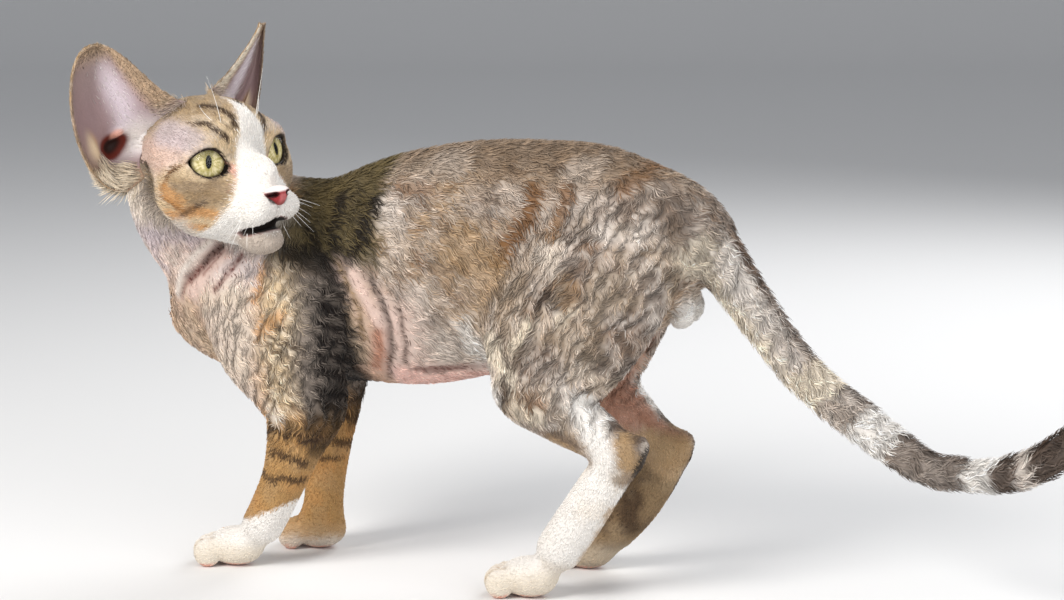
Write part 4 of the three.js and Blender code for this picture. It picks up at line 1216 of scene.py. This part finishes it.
def growCoat(points, quads, field, material):
    middle = points[quads].mean(axis=1)
    density = coatMeasures(middle, partsAt(middle))[0] * (1 - 0.8 * toeClefts(middle))
    bareSpots = eyeShare(middle) + soft(-middle[:, 2], -2.5, -1.5)
    roots = scatter(points, quads, density * np.clip(1 - bareSpots, 0, 1))
    place = emptyPlace(len(roots))
    parts = partsAt(roots, place)
    value, normals = field.read(roots)
    lies = coatLie(roots, normals, parts, place)
    colours = coatColour(roots + random.normal(scale=0.8, size=roots.shape), parts, place)
    _, length, width, height, swing = coatMeasures(roots, parts)
    length = length * (1 + 0.22 * random.normal(size=len(roots))).clip(0.5, 1.6)
    height = height * (0.45 + 0.75 * random.random(len(roots)))
    lies = unit(lies + np.cross(normals, lies) * (0.2 * random.normal(size=len(roots)))[:, None])
    names, nearest = nearestPart(parts)
    corners = unwrap(names, nearest, roots, place)
    for index, part in enumerate(names):
        mine = np.flatnonzero(nearest == index)
        high = roots[mine, 2] >= footTop if part in legs else np.full(len(mine), True)
        groups = {"coat_" + part: (mine[high], 2 if part in ("head", "scrotum") else 3)}
        if part in legs:
            groups["coat_" + part + "_foot"] = (mine[~high], 2)
        for label, (picks, rings) in groups.items():
            picks = picks[np.argsort(roots[picks, 0], kind="stable")]
            limit = trianglesPerPiece // (6 * rings - 2)
            for number, chunk in enumerate(np.array_split(picks, max(math.ceil(len(picks) / limit), 1)), 1):
                sizes = [values[chunk] for values in (length, width, height, swing)]
                rows, tints = growTufts(roots[chunk], colours[chunk], lies[chunk], sizes, field, rings)
                piece = tuftPiece(f"{label}_{number}", rows, tints, corners[chunk], rings, material)
                finished(piece, slotOf(part))
    print("tufts", len(roots))


def slotOf(part):
    named = {"head": "coat_head", "tail": "coat_tail", "scrotum": "coat_light"}
    return named.get(part, "coat_leg" if part in legs else "coat_body")


def eyeShare(points):
    # 1 within the lids' line, where no hair stands.
    share = np.zeros(len(points))
    local = toHead(points)
    for side in (1, -1):
        turn, at = eyeFrame(side)
        own = (local - at) @ turn
        within = soft(-almondRatio(side * own[:, 1], own[:, 2]), -1.08, -1.02)
        share = np.maximum(share, within * (own[:, 0] > 0))
    nose = np.linalg.norm((local - (52, 0, -22)) / (6, 7.4, 4.6), axis=1)
    inside = mouthCut(local) < 0.8
    return np.maximum(np.maximum(share, soft(-nose, -1.1, -1)), inside)


def tintMaterial(name, roughness, bumpSize, bumpStrength):
    finish = Finish(name)
    tint = finish.node("Attribute", {"attribute_name": "tint"})
    place = finish.node("TexCoord")
    grain = {"Vector": place.outputs["Object"], "Scale": bumpSize, "Detail": 3.0}
    fine = finish.node("TexNoise", {"noise_dimensions": "3D"}, **grain)
    amount = 0.86 + finish.value(fine) * 0.28
    shaded = finish.node("VectorMath", {"operation": "SCALE"}, i0=tint.outputs["Color"], Scale=amount)
    bump = finish.node("Bump", None, Height=fine.outputs[0], Strength=bumpStrength, Distance=0.0006)
    finish.set(Base_Color=shaded.outputs[0], Roughness=roughness, Normal=bump.outputs[0])
    finish.surface.inputs["Sheen Weight"].default_value = 0.05
    finish.surface.inputs["Specular IOR Level"].default_value = 0.18
    return finish.material


def makeSkinPiece():
    points, quads, field = makeSkinField()
    place = emptyPlace(len(points))
    parts = partsAt(points, place)
    colours = coatColour(points, parts, place)
    wave = np.sin(wavePhase(points))
    swing = coatMeasures(points, parts)[4]
    # The skin is painted darker, as the coat's shade on it, and painted lighter and darker along the waves'
    # crests and troughs.
    colours = colours * (0.78 + 0.1 * swing * wave)[:, None]
    # Lips, lids and pads, then painted shade in the clefts between the toes.
    colours = mix(mouthColour(points, colours), "loam", 0.9 * toeClefts(points))
    skin = makeMesh("skin", points, quads, tintMaterial("skin", 0.75, 900.0, 0.5), np.clip(colours, 0, 1))
    flesh = [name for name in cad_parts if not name.startswith(("eye", "ear", "nose"))]
    finished(skin, "coat_body", *flesh)
    return points, quads, field


def mouthColour(points, colours):
    # Dark lips and lids, the skin inside the lids' line painted near black as shade in the gap beside the
    # eyeball, and pink pads under the paws.
    local = toHead(points)
    near = np.linalg.norm(local - (30, 0, -20), axis=1) < 70
    cut = mouthCut(local)
    colours = mix(colours, "wine", near * soft(-cut, -1.5, -0.6) * 0.75)
    colours = mix(colours, "night", near * soft(-cut, -0.8, -0.1))
    colours = mix(colours, "night", eyeShare(points) * (cut > 1) * 0.9)
    return mix(colours, "pink", soft(-points[:, 2], -3.2, -1.8))


def outward(points, faces):
    # Faces turned round where the closed shape they make has a negative volume.
    a, b, c = [points[faces[:, i]] for i in range(3)]
    volume = (a * np.cross(b, c)).sum()
    if faces.shape[1] == 4:
        volume += (a * np.cross(c, points[faces[:, 3]])).sum()
    return faces if volume > 0 else faces[:, ::-1]


def tubeFaces(rows, ring):
    # Quads between the rings of a closed tube whose rings have the same number of points.
    row, column = np.meshgrid(np.arange(rows - 1), np.arange(ring), indexing="ij")
    after = (column + 1) % ring
    corners = [row * ring + column, row * ring + after, (row + 1) * ring + after, (row + 1) * ring + column]
    return np.stack([corner.ravel() for corner in corners], axis=1)


def bump(value, at, width):
    return np.exp(-(((value - at) / width) ** 2))


# Forms on the ear's hollow side: their s and t, how far they reach in each, and their height.
earRelief = {
    "canal": (0.295, 0.5, 0.085, 0.13, -7.0), "knob": (0.345, 0.405, 0.035, 0.06, 4.0),
    "flap": (0.42, 0.72, 0.08, 0.11, 3.0),
    "pocket": (0.42, 0.86, 0.06, 0.04, -1.0), "rimWall": 0.5, "fromRow": 0.1,
}


def earShell(name):
    # The front sheet from the inner edge to the outer one, with its relief, then the back sheet home again.
    rows, columns = ear["rows"], ear["columns"]
    t = np.concatenate([np.linspace(0, 1, columns), np.linspace(1, 0, columns)])
    s, t = np.meshgrid(np.linspace(earRelief["fromRow"], 1, rows), t, indexing="ij")
    front = np.broadcast_to(np.arange(2 * columns) < columns, s.shape)
    edge = np.minimum(np.minimum(t, 1 - t) * 12, (1 - s) * 16 + 0.1).clip(0, 1) ** 0.5
    half = (earRelief["rimWall"] + (ear["wall"] - earRelief["rimWall"]) * edge) / 2
    lift = np.where(front, half, -half)
    canal = earRelief["canal"]
    lift = lift + canal[4] * bump(s, canal[0], canal[2]) * bump(t, canal[1], canal[3])
    for key in ("knob", "flap", "pocket"):
        at, across, tall, wide, height = earRelief[key]
        lift = lift + front * height * bump(s, at, tall) * bump(t, across, wide)
    ribs = bump(t, 0.34, 0.05) + bump(t, 0.47, 0.04) * 0.7
    lift = lift + front * 0.9 * ribs * soft(s, 0.32, 0.42) * soft(-s, -0.8, -0.5)
    points, normals = earPoint(name, s.ravel(), t.ravel(), lift.ravel())
    faces = tubeFaces(rows, 2 * columns)
    j = np.arange(columns - 1)
    cap = np.stack([j, 2 * columns - 1 - j, 2 * columns - 2 - j, j + 1], axis=1)
    faces = np.vstack([faces, cap, cap[:, ::-1] + (rows - 1) * 2 * columns])
    return points, outward(points, faces), s.ravel(), t.ravel(), front.ravel(), normals


def paleBand(s, t):
    # Where the hollow side is pale: a band from the tip down, wide over the canal.
    middle, half = 0.24 + 0.12 * soft(-s, -0.5, -0.25), 0.1 + 0.1 * soft(-s, -0.45, -0.2)
    return bump(t, middle, half) * soft(-s, -0.9, -0.6)


def earColour(name, points, s, t, front):
    skin = np.tile(light(146, 122, 122), (len(s), 1))
    skin = mix(skin, "grey", soft(s, 0.5, 0.8) * 0.3)
    skin = skin + (light(204, 190, 198) - skin) * (paleBand(s, t) * 0.95)[:, None]
    skin = mix(skin, "snow", paleBand(s, t) * soft(-s, -0.42, -0.25) * 0.8)
    fur = np.maximum(soft(-t, -0.16, -0.06), np.maximum(soft(t, 0.93, 0.98) * 0.8, soft(s, 0.74, 0.92)))
    furColour = np.tile(light(166, 142, 118), (len(s), 1)) * (0.6 + 0.8 * noise(points, 1.2, 4))[:, None]
    if name == "left":
        furColour = mix(furColour, "cream", soft(-t, -0.12, -0.02) * 0.9)
        furColour = mix(furColour, "umber", soft(t, 0.8, 0.95) * 0.7)
    skin = skin + (furColour - skin) * (fur * soft(s, 0.24, 0.34))[:, None]
    canal, knob, flap = earRelief["canal"], earRelief["knob"], earRelief["flap"]
    # The canal is painted wine and near black, as shade in its hollow.
    hole = bump(s, canal[0], canal[2] * 0.9) * bump(t, canal[1], canal[3] * 0.9)
    skin = mix(skin, "wine", soft(hole, 0.12, 0.4))
    skin = mix(skin, "night", soft(hole, 0.5, 0.85) * 0.9)
    skin = mix(skin, "pink", soft(bump(s, knob[0], knob[2]) * bump(t, knob[1], knob[3]), 0.2, 0.6) * 0.9)
    lobe = soft(bump(s, flap[0], flap[2] * 1.1) * bump(t, flap[1], flap[3] * 1.2), 0.15, 0.95)
    skin = mix(skin, "sand", lobe * 0.9)
    skin = mix(skin, "ginger", lobe * soft(-t, -0.68, -0.6) * 0.5)
    skin = mix(skin, "loam", soft(t, 0.74, 0.9) * soft(-s, -0.62, -0.3) * (1 - lobe) * 0.7)
    back = np.tile(shades["loam"], (len(s), 1))
    back = clouds(back, points, ("fawn", 6, 4, 0.6), ("smoke", 9, 2, 0.5), ("pale", 3, 8, 0.3))
    return np.where(front[:, None], skin, back)


class Plane:
    # Flat ground under each lock, for places that the skin's grid does not hold.
    def __init__(self, roots, normals):
        self.roots, self.normals = roots, normals

    def read(self, places):
        return ((places - self.roots) * self.normals).sum(1), self.normals


earCoat = {
    "back": {"density": 1.5, "length": 2.6, "width": 0.24, "height": 0.5},
    "front": {"density": 1.3, "length": 2.4, "width": 0.22, "height": 0.8},
    "base": {"length": 9, "width": 0.34, "height": 4.2},
    "fine": {"length": 4.5, "width": 0.13, "height": 1.2},
}


def growEarCoat(name, shell, material):
    # Short velvet on the back and the rims, none on the bare inside, and longer locks at the foot of the ear.
    points, faces, s, t, front, _ = shell
    a, b, c, d = [points[faces[:, i]] for i in range(4)]
    cross = np.cross(c - a, d - b)
    area, middle = np.linalg.norm(cross, axis=1) / 2, (a + b + c + d) / 4
    sMid, tMid, frontMid = s[faces].mean(1), t[faces].mean(1), front[faces].mean(1)
    rim = np.maximum(soft(-tMid, -0.17, -0.07), np.maximum(soft(tMid, 0.92, 0.97), soft(sMid, 0.74, 0.92)))
    low = soft(-sMid, -0.34, -0.26) * soft(tMid, 0.66, 0.8)
    canal = earRelief["canal"]
    hole = bump(sMid, canal[0], canal[2] * 1.3) * bump(tMid, canal[1], canal[3])
    fine = 0.22 * paleBand(sMid, tMid) * (1 - soft(hole, 0.1, 0.4))
    hollow = np.maximum(np.maximum(rim, low), fine)
    share = np.where(frontMid > 0.5, earCoat["front"]["density"] * hollow, earCoat["back"]["density"])
    running = np.cumsum(area * share * (sMid < 0.985))
    picks = np.searchsorted(running, np.arange(int(running[-1])) + random.random(int(running[-1])))
    picks = np.minimum(picks, len(faces) - 1)
    u, v = random.random((2, len(picks), 1))
    roots = (a[picks] * (1 - u) + b[picks] * u) * (1 - v) + (d[picks] * (1 - u) + c[picks] * u) * v
    normals = unit(cross)[picks]
    step = 0.02
    zero = np.zeros(len(picks))
    below, above = [np.clip(sMid[picks] + way, 0.05, 1) for way in (-step, step)]
    lies = unit(earPoint(name, above, tMid[picks], zero)[0] - earPoint(name, below, tMid[picks], zero)[0])
    hollowSide = frontMid[picks] > 0.5
    base = soft(-sMid[picks], -0.42, -0.26) * np.where(tMid[picks] < 0.5, 0.35, 1)
    whisper = hollowSide & (fine[picks] > 0.5 * hollow[picks])
    sizes = {}
    for key in ("length", "width", "height"):
        short = np.where(hollowSide, earCoat["front"][key], earCoat["back"][key])
        short = np.where(whisper, earCoat["fine"][key], short)
        sizes[key] = short + (earCoat["base"][key] - short) * base * ~whisper
    lies = lies - base[:, None] * (headTurn[:, 0] * 1.1 + np.array([0, 0, 0.5]))
    lies = lies + 0.35 * (random.random(lies.shape) - 0.5)
    lies = unit(lies - normals * (lies * normals).sum(1)[:, None])
    length = sizes["length"] * (0.7 + 0.6 * random.random(len(picks)))
    height = sizes["height"] * (0.5 + 0.8 * random.random(len(picks)))
    colours = earColour(name, roots, sMid[picks], tMid[picks], hollowSide)
    colours = colours * (1 + 0.3 * random.normal(size=len(picks)).clip(-1.5, 1.5) * (1 - base))[:, None]
    colours = mix(colours, "sand", 0.85 * base)
    colours = mix(colours, "cream", base * 1.3 * cloud(roots, 5, 3))
    colours = mix(colours, "snow", whisper * 0.8)
    corners = np.clip(np.stack([0.5 * tMid[picks] + 0.5 * hollowSide, sMid[picks]], axis=1), 0.004, 0.99)
    measures = (length, sizes["width"], height, zero + 0.1)
    rows, tints = growTufts(roots, colours, lies, measures, Plane(roots, normals), 2)
    finished(tuftPiece("coat_ear_" + name, rows, tints, corners, 2, material), "coat_head")


def makeEars(coatMaterial):
    finish = tintMaterial("ear_skin", 0.5, 1400.0, 0.25)
    for name in ("left", "right"):
        shell = earShell(name)
        points, faces, s, t, front, _ = shell
        colours = np.clip(earColour(name, points, s, t, front), 0, 1)
        piece = makeMesh("ear_" + name, points, faces, finish, colours)
        finished(piece, "ear_skin", "ear_" + name)
        growEarCoat(name, shell, coatMaterial)


def revolve(profile, count):
    # A profile of along and radius, from pole to pole, turned round the forward axis.
    along, radius = np.array(profile, float).T
    angles = np.linspace(0, 2 * math.pi, count, endpoint=False)
    sideways, upward = [np.outer(radius[1:-1], way(angles)).ravel() for way in (np.cos, np.sin)]
    middle = np.stack([np.repeat(along[1:-1], count), sideways, upward], axis=1)
    points = np.vstack([middle, [along[0], 0, 0], [along[-1], 0, 0]])
    quads = tubeFaces(len(along) - 2, count)
    j = np.arange(count)
    last = (len(along) - 3) * count
    first = np.stack([np.full(count, len(points) - 2), (j + 1) % count, j], axis=1)
    end = np.stack([np.full(count, len(points) - 1), last + j, last + (j + 1) % count], axis=1)
    faces = np.vstack([quads[:, [0, 1, 2]], quads[:, [0, 2, 3]], first, end])
    return points, outward(points, faces)


eyeball = {"irisAt": 5.4, "bulge": 2.0, "slit": (1.7, 3.7), "lens": 1.0, "pupilAt": (0.3, 0.6), "sides": 72}


def eyeToCat(points, side):
    turn, at = eyeFrame(side)
    return toCat(np.asarray(points) @ turn.T + at)


def irisColour(points, side):
    # Yellow-green with a darker outer ring, fine rays, a warm ring by the pupil and an upright slit, and the
    # top painted darker as the upper lid's shade.
    y, z = points[:, 1] - eyeball["pupilAt"][0] * side, points[:, 2] - eyeball["pupilAt"][1]
    radius, angle = np.hypot(y, z), np.arctan2(z, y)
    slit = np.hypot(y / eyeball["slit"][0], z / eyeball["slit"][1])
    ring = np.stack([np.cos(angle) * 9, np.sin(angle) * 9, radius * 0.5], axis=1)
    rays = cloud(ring + 40, 0.9, 3)
    colour = np.tile(light(204, 190, 130), (len(points), 1))
    colour = colour + (light(240, 228, 186) - colour) * (soft(rays, 0.4, 0.7) * 0.8)[:, None]
    colour = colour + (light(148, 136, 66) - colour) * (soft(-rays, -0.42, -0.3) * 0.6)[:, None]
    colour = colour + (light(150, 138, 62) - colour) * (soft(-slit, -2.1, -1.15) * 0.6)[:, None]
    colour = colour + (light(96, 84, 40) - colour) * (soft(radius, 7.2, 9.0) * 0.75)[:, None]
    colour = colour + (light(30, 22, 16) - colour) * soft(radius, 9.0, 9.6)[:, None]
    # painted shade from the upper lid over the top of the iris
    colour = colour * (1 - 0.5 * soft(z - 0.25 * radius, 0, 6))[:, None]
    return colour * (1 - soft(-slit, -1.08, -0.94))[:, None] + 0.002


def makeEyes():
    ball = Finish("eye").set(Roughness=0.5, Specular_IOR_Level=0.05)
    tint = ball.node("Attribute", {"attribute_name": "tint"})
    ball.set(Base_Color=tint.outputs["Color"])
    clear = Finish("cornea")
    glass = clear.node("MixShader", None)
    gloss = clear.node("BsdfGlossy", None, Roughness=0.03)
    through = clear.node("BsdfTransparent")
    glass.inputs[0].default_value = 0.014
    for place, link in ((1, through.outputs[0]), (2, gloss.outputs[0])):
        clear.tree.links.new(link, glass.inputs[place])
    output = next(node for node in clear.tree.nodes if node.type == "OUTPUT_MATERIAL")
    clear.tree.links.new(glass.outputs[0], output.inputs[0])
    radius = eye["radius"] - 0.3
    edge = math.acos(eyeball["irisAt"] / radius)
    back = [(-radius * math.cos(a), radius * math.sin(a)) for a in np.linspace(0, math.pi - edge, 30)]
    iris, wide = eyeball["irisAt"], back[-1][1]
    dish = [(iris + eyeball["bulge"] * (1 - r * r), wide * r) for r in np.linspace(0.985, 0, 40)]
    dome = radius + eyeball["lens"] - iris
    front = [(iris + dome * math.cos(a), wide * math.sin(a)) for a in np.linspace(math.pi / 2, 0, 22)]
    inner = [(along + 0.15, around) for along, around in dish[::-6]]
    for name, side in (("left", 1), ("right", -1)):
        points, faces = revolve(back + dish, eyeball["sides"])
        colours = irisColour(points, side)
        piece = makeMesh("eye_ball_" + name, eyeToCat(points, side), faces, ball.material, colours)
        finished(piece, "eye", "eye_" + name)
        shell, faces = revolve([*inner, *front], eyeball["sides"])
        finished(makeMesh("cornea_" + name, eyeToCat(shell, side), faces, clear.material), "eye")
        makeLid(name, side)


lid = {"thick": 0.95, "ball": 11.1, "points": 96, "sides": 10, "corner": 0.8}


def makeLid(name, side):
    # A dark rim: a small round profile carried round the eye's pointed opening.
    turn = np.linspace(0, 2 * math.pi, lid["points"], endpoint=False)
    across = (eye["halfLength"] + lid["corner"] * np.cos(turn) ** 8) * np.cos(turn)
    up = eye["halfHeight"] * np.sin(turn) * np.sqrt(np.abs(np.sin(turn)))
    up = up - eye["droop"] * soft(-across * side, 3, 11)
    forward = np.sqrt(np.maximum(lid["ball"] ** 2 - across**2 - up**2, 4.0))
    path = np.stack([forward, across, up], axis=1)
    along = unit(np.roll(path, -1, axis=0) - np.roll(path, 1, axis=0))
    out = unit(path)
    sideways = np.cross(along, out)
    angle = np.linspace(0, 2 * math.pi, lid["sides"], endpoint=False)
    size = lid["thick"] * (0.75 + 0.5 * soft(up, -2, 5))
    rings = path[:, None] + size[:, None, None] * (
        out[:, None] * np.sin(angle)[None, :, None] * 0.8 + sideways[:, None] * np.cos(angle)[None, :, None]
    )
    points = rings.reshape(-1, 3)
    faces = tubeFaces(lid["points"] + 1, lid["sides"]) % len(points)
    finish = tintMaterial("lid_" + name, 0.35, 1500.0, 0.2)
    pinkness = soft(-across * side, 8.5, 10.5) * 0.7
    colours = mix(np.tile(light(44, 32, 28), (len(across), 1)), "groin", pinkness)
    colours = np.repeat(colours, lid["sides"], axis=0)
    piece = makeMesh("lid_" + name, eyeToCat(points, side), outward(points, faces), finish, colours)
    finished(piece, "eye")


noseForms = {
    "lobes": [((48.9, 0, -19.9), (5.5, 7.6, 3.7)), ((49.8, 0, -23), (4, 3.2, 4.0))],
    "hole": ((54, 4.6, -20.4), (4.2, 2.2, 1.35)), "step": 0.45,
}


def noseValue(points):
    value = union([Ellipsoid(at, radii, 3) for at, radii in noseForms["lobes"]], points)
    for side in (1, -1):
        (x, y, z), radii = noseForms["hole"]
        hole = Ellipsoid((x, side * y, z), radii, 1, side * 30)
        slot = Ellipsoid((x - 2.6, side * (y + 3), z - 0.5), (4.6, 1.8, 0.8), 1, side * 60)
        value = -smoothMin(smoothMin(-value, hole.distance(points), 0.8), slot.distance(points), 0.6)
    seam = np.maximum(np.abs(points[:, 1]) - 0.3, 51.5 - points[:, 0])
    return -smoothMin(-value, seam + 0.35, 0.6)


def makeNose():
    step = noseForms["step"]
    lines = [np.arange(low, high, step) for low, high in ((42, 57), (-9.5, 9.6), (-30, -12.5))]
    corners = np.stack(np.meshgrid(*lines, indexing="ij"), axis=-1)
    values = noseValue(corners.reshape(-1, 3)).reshape(corners.shape[:3])
    points, quads = surfaceNet(values, lines)
    points = settled(points, noseValue, most=0.3)
    colours = np.tile(light(150, 46, 50), (len(points), 1))
    colours = colours + (light(240, 228, 224) - colours) * soft(points[:, 2], -19.9, -18.4)[:, None]
    # A painted highlight: the middle of the pad lighter pink.
    middle = soft(-np.abs(points[:, 1]), -3, -1) * soft(-points[:, 2], 19.5, 21.5) * 0.6
    colours = colours + (light(214, 130, 130) - colours) * middle[:, None]
    colours = mix(colours, "wine", soft(-points[:, 2], 23, 26) * 0.6)
    # The nostrils painted near black, as shade in their openings.
    for side in (1, -1):
        (x, y, z), _ = noseForms["hole"]
        reach = np.linalg.norm((points - (x - 2.2, side * (y + 1), z - 0.2)) / (5, 4.0, 1.7), axis=1)
        colours = colours + (light(58, 8, 10) - colours) * soft(-reach, -1.3, -0.8)[:, None]
    finish = tintMaterial("nose_leather", 0.38, 2600.0, 0.35)
    piece = makeMesh("nose_pad", toCat(points), outward(points, quads), finish, colours)
    finished(piece, "nose_leather", "nose")


# Whiskers in the head's axes for its left side: root, the way each sets out, its length and its curl.
whiskers = [
    ((41, 15, -25), (0.25, 0.9, -0.25), 17, -0.5), ((40, 16.5, -27), (0.1, 0.95, -0.4), 14, -0.7),
    ((39, 17, -30), (0.0, 0.85, -0.6), 16, -0.9), ((42, 14, -31), (0.2, 0.75, -0.75), 13, -0.6),
    ((37, 17.5, -33), (-0.1, 0.7, -0.85), 18, -0.4), ((41, 13, -34), (0.2, 0.5, -0.95), 12, 0.3),
    ((36, 17, -28), (-0.3, 0.95, -0.3), 12, -0.5), ((24, 12, 21), (0.2, 0.15, 1.0), 26, 0.25),
    ((22, 14, 20), (-0.4, 0.6, 0.8), 24, -0.9), ((34, 13, -42), (0.1, 0.4, -1.0), 9, 0.3),
]
whisker = {"radius": 0.17, "segments": 14, "sides": 5}


def makeWhiskers():
    parts, count = [], 0
    faces = []
    for side in (1, -1):
        for root, way, length, curl in whiskers:
            t = np.linspace(0, 1, whisker["segments"])[:, None]
            mirror = np.array([1, side, 1])
            way = unit(np.array(way) + 0.12 * random.normal(size=3))
            bend = unit(np.cross(way, (0.4, 0.2, 0.9)))
            line = np.array(root) - way * 1.5 + way * length * t
            line = line + (bend * 0.35 + np.array([-0.25, 0, 0.3])) * curl * length * t**2
            ways = unit(np.gradient(line, axis=0))
            across = unit(np.cross(ways, (0.3, 0.5, 0.8)))
            over = np.cross(ways, across)
            angle = np.linspace(0, 2 * math.pi, whisker["sides"], endpoint=False)
            size = whisker["radius"] * (1 - 0.75 * t)
            ring = across[:, None] * np.cos(angle)[None, :, None]
            ring = ring + over[:, None] * np.sin(angle)[None, :, None]
            points = (line[:, None] + ring * size[:, None]).reshape(-1, 3)
            sides = whisker["sides"]
            own = tubeFaces(whisker["segments"], sides)
            own = np.vstack([own[:, [0, 1, 2]], own[:, [0, 2, 3]]])
            ends = [[0, i + 1, i] for i in range(1, sides - 1)]
            last = (whisker["segments"] - 1) * sides
            ends += [[last, last + i, last + i + 1] for i in range(1, sides - 1)]
            own = outward(points, np.vstack([own, ends]))
            parts.append(points * mirror)
            faces.append((own if side > 0 else own[:, ::-1]) + count)
            count += len(points)
    finish = Finish("whisker").set(Base_Color=(0.9, 0.88, 0.85, 1), Roughness=0.35)
    finished(makeMesh("whiskers", toCat(np.vstack(parts)), np.vstack(faces), finish.material), "coat_light")


coatMaterial = tintMaterial("coat", 0.6, 1500.0, 0.15)
skinPoints, skinQuads, skinField = makeSkinPiece()
growCoat(skinPoints, skinQuads, skinField, coatMaterial)
makeEars(coatMaterial)
makeEyes()
makeNose()
makeWhiskers()

# The camera looks 18 degrees round to the rump from the left side, with a long lens.
view = {"azimuth": 18, "elevation": 9.5, "distance": 1264, "target": (70, 0, 160), "lens": 76.97}


def makeCamera():
    turn, rise = math.radians(view["azimuth"]), math.radians(view["elevation"])
    back = np.array([math.sin(turn) * math.cos(rise), -math.cos(turn) * math.cos(rise), math.sin(rise)])
    camera = bpy.data.objects.new("camera", bpy.data.cameras.new("camera"))
    camera.data.lens = view["lens"]
    camera.data.sensor_width = 36
    camera.location = toFrame(np.array(view["target"]) + view["distance"] * back)
    camera.rotation_euler = Vector(-back).to_track_quat("-Z", "Y").to_euler()
    bpy.context.collection.objects.link(camera)
    bpy.context.scene.camera = camera


lights = {
    "key": {"at": (-0.75, -1.15, 1.05), "size": 0.7, "power": 26, "colour": (1, 0.97, 0.93)},
    "fill": {"at": (1.2, -0.8, 0.7), "size": 1.4, "power": 12, "colour": (1, 1, 1)},
    "rim": {"at": (0.4, 1.2, 1.1), "size": 0.9, "power": 14, "colour": (1, 1, 1)},
}
# The floor bends up to a backdrop far behind every place that the cat is looked at from.
studio = {
    "halfWidth": 9000, "floorStart": 4500, "bend": 1500, "height": 6000,
    "grey": 0.78, "sky": (0.78, 0.8, 0.84, 1),
}


def makeLight(name):
    lamp = bpy.data.objects.new(name, bpy.data.lights.new(name, "AREA"))
    settings = lights[name]
    lamp.data.size, lamp.data.energy = settings["size"], settings["power"]
    lamp.data.color = settings["colour"]
    lamp.location = settings["at"]
    lamp.rotation_euler = (Vector((0, 0, 0.14)) - lamp.location).to_track_quat("-Z", "Y").to_euler()
    bpy.context.collection.objects.link(lamp)


def makeStudio():
    grey, wide, bend = studio["grey"], studio["halfWidth"], studio["bend"]
    floorFinish = Finish("floor").set(Base_Color=(grey, grey, grey, 1), Roughness=0.8)
    angle = np.linspace(0, math.pi / 2, 24)
    curve = zip(studio["floorStart"] + bend * np.sin(angle), bend - bend * np.cos(angle))
    profile = [(-wide, 0), *curve, (studio["floorStart"] + bend, studio["height"])]
    turn = math.radians(view["azimuth"])
    across = np.array([math.cos(turn), math.sin(turn), 0])
    back = np.array([-math.sin(turn), math.cos(turn), 0])
    rows = [[across * x + back * depth + (0, 0, height) for x in (-wide, wide)] for depth, height in profile]
    faces = np.array([[2 * i, 2 * i + 1, 2 * i + 3, 2 * i + 2] for i in range(len(profile) - 1)])
    floor = makeMesh("floor", np.array(rows).reshape(-1, 3) - shift, faces, floorFinish.material)
    floor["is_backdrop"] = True
    for name in lights:
        makeLight(name)
    world = bpy.data.worlds.new("studio")
    world.use_nodes = True
    world.node_tree.nodes["Background"].inputs[0].default_value = studio["sky"]
    world.node_tree.nodes["Background"].inputs[1].default_value = 0.45
    bpy.context.scene.world = world
    bpy.context.scene.view_settings.view_transform = "Standard"


makeStudio()
makeCamera()

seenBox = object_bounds()
boxes = {"cad": cadBox, "scene": seenBox}
{name: [list(corner) for corner in box] for name, box in boxes.items()}
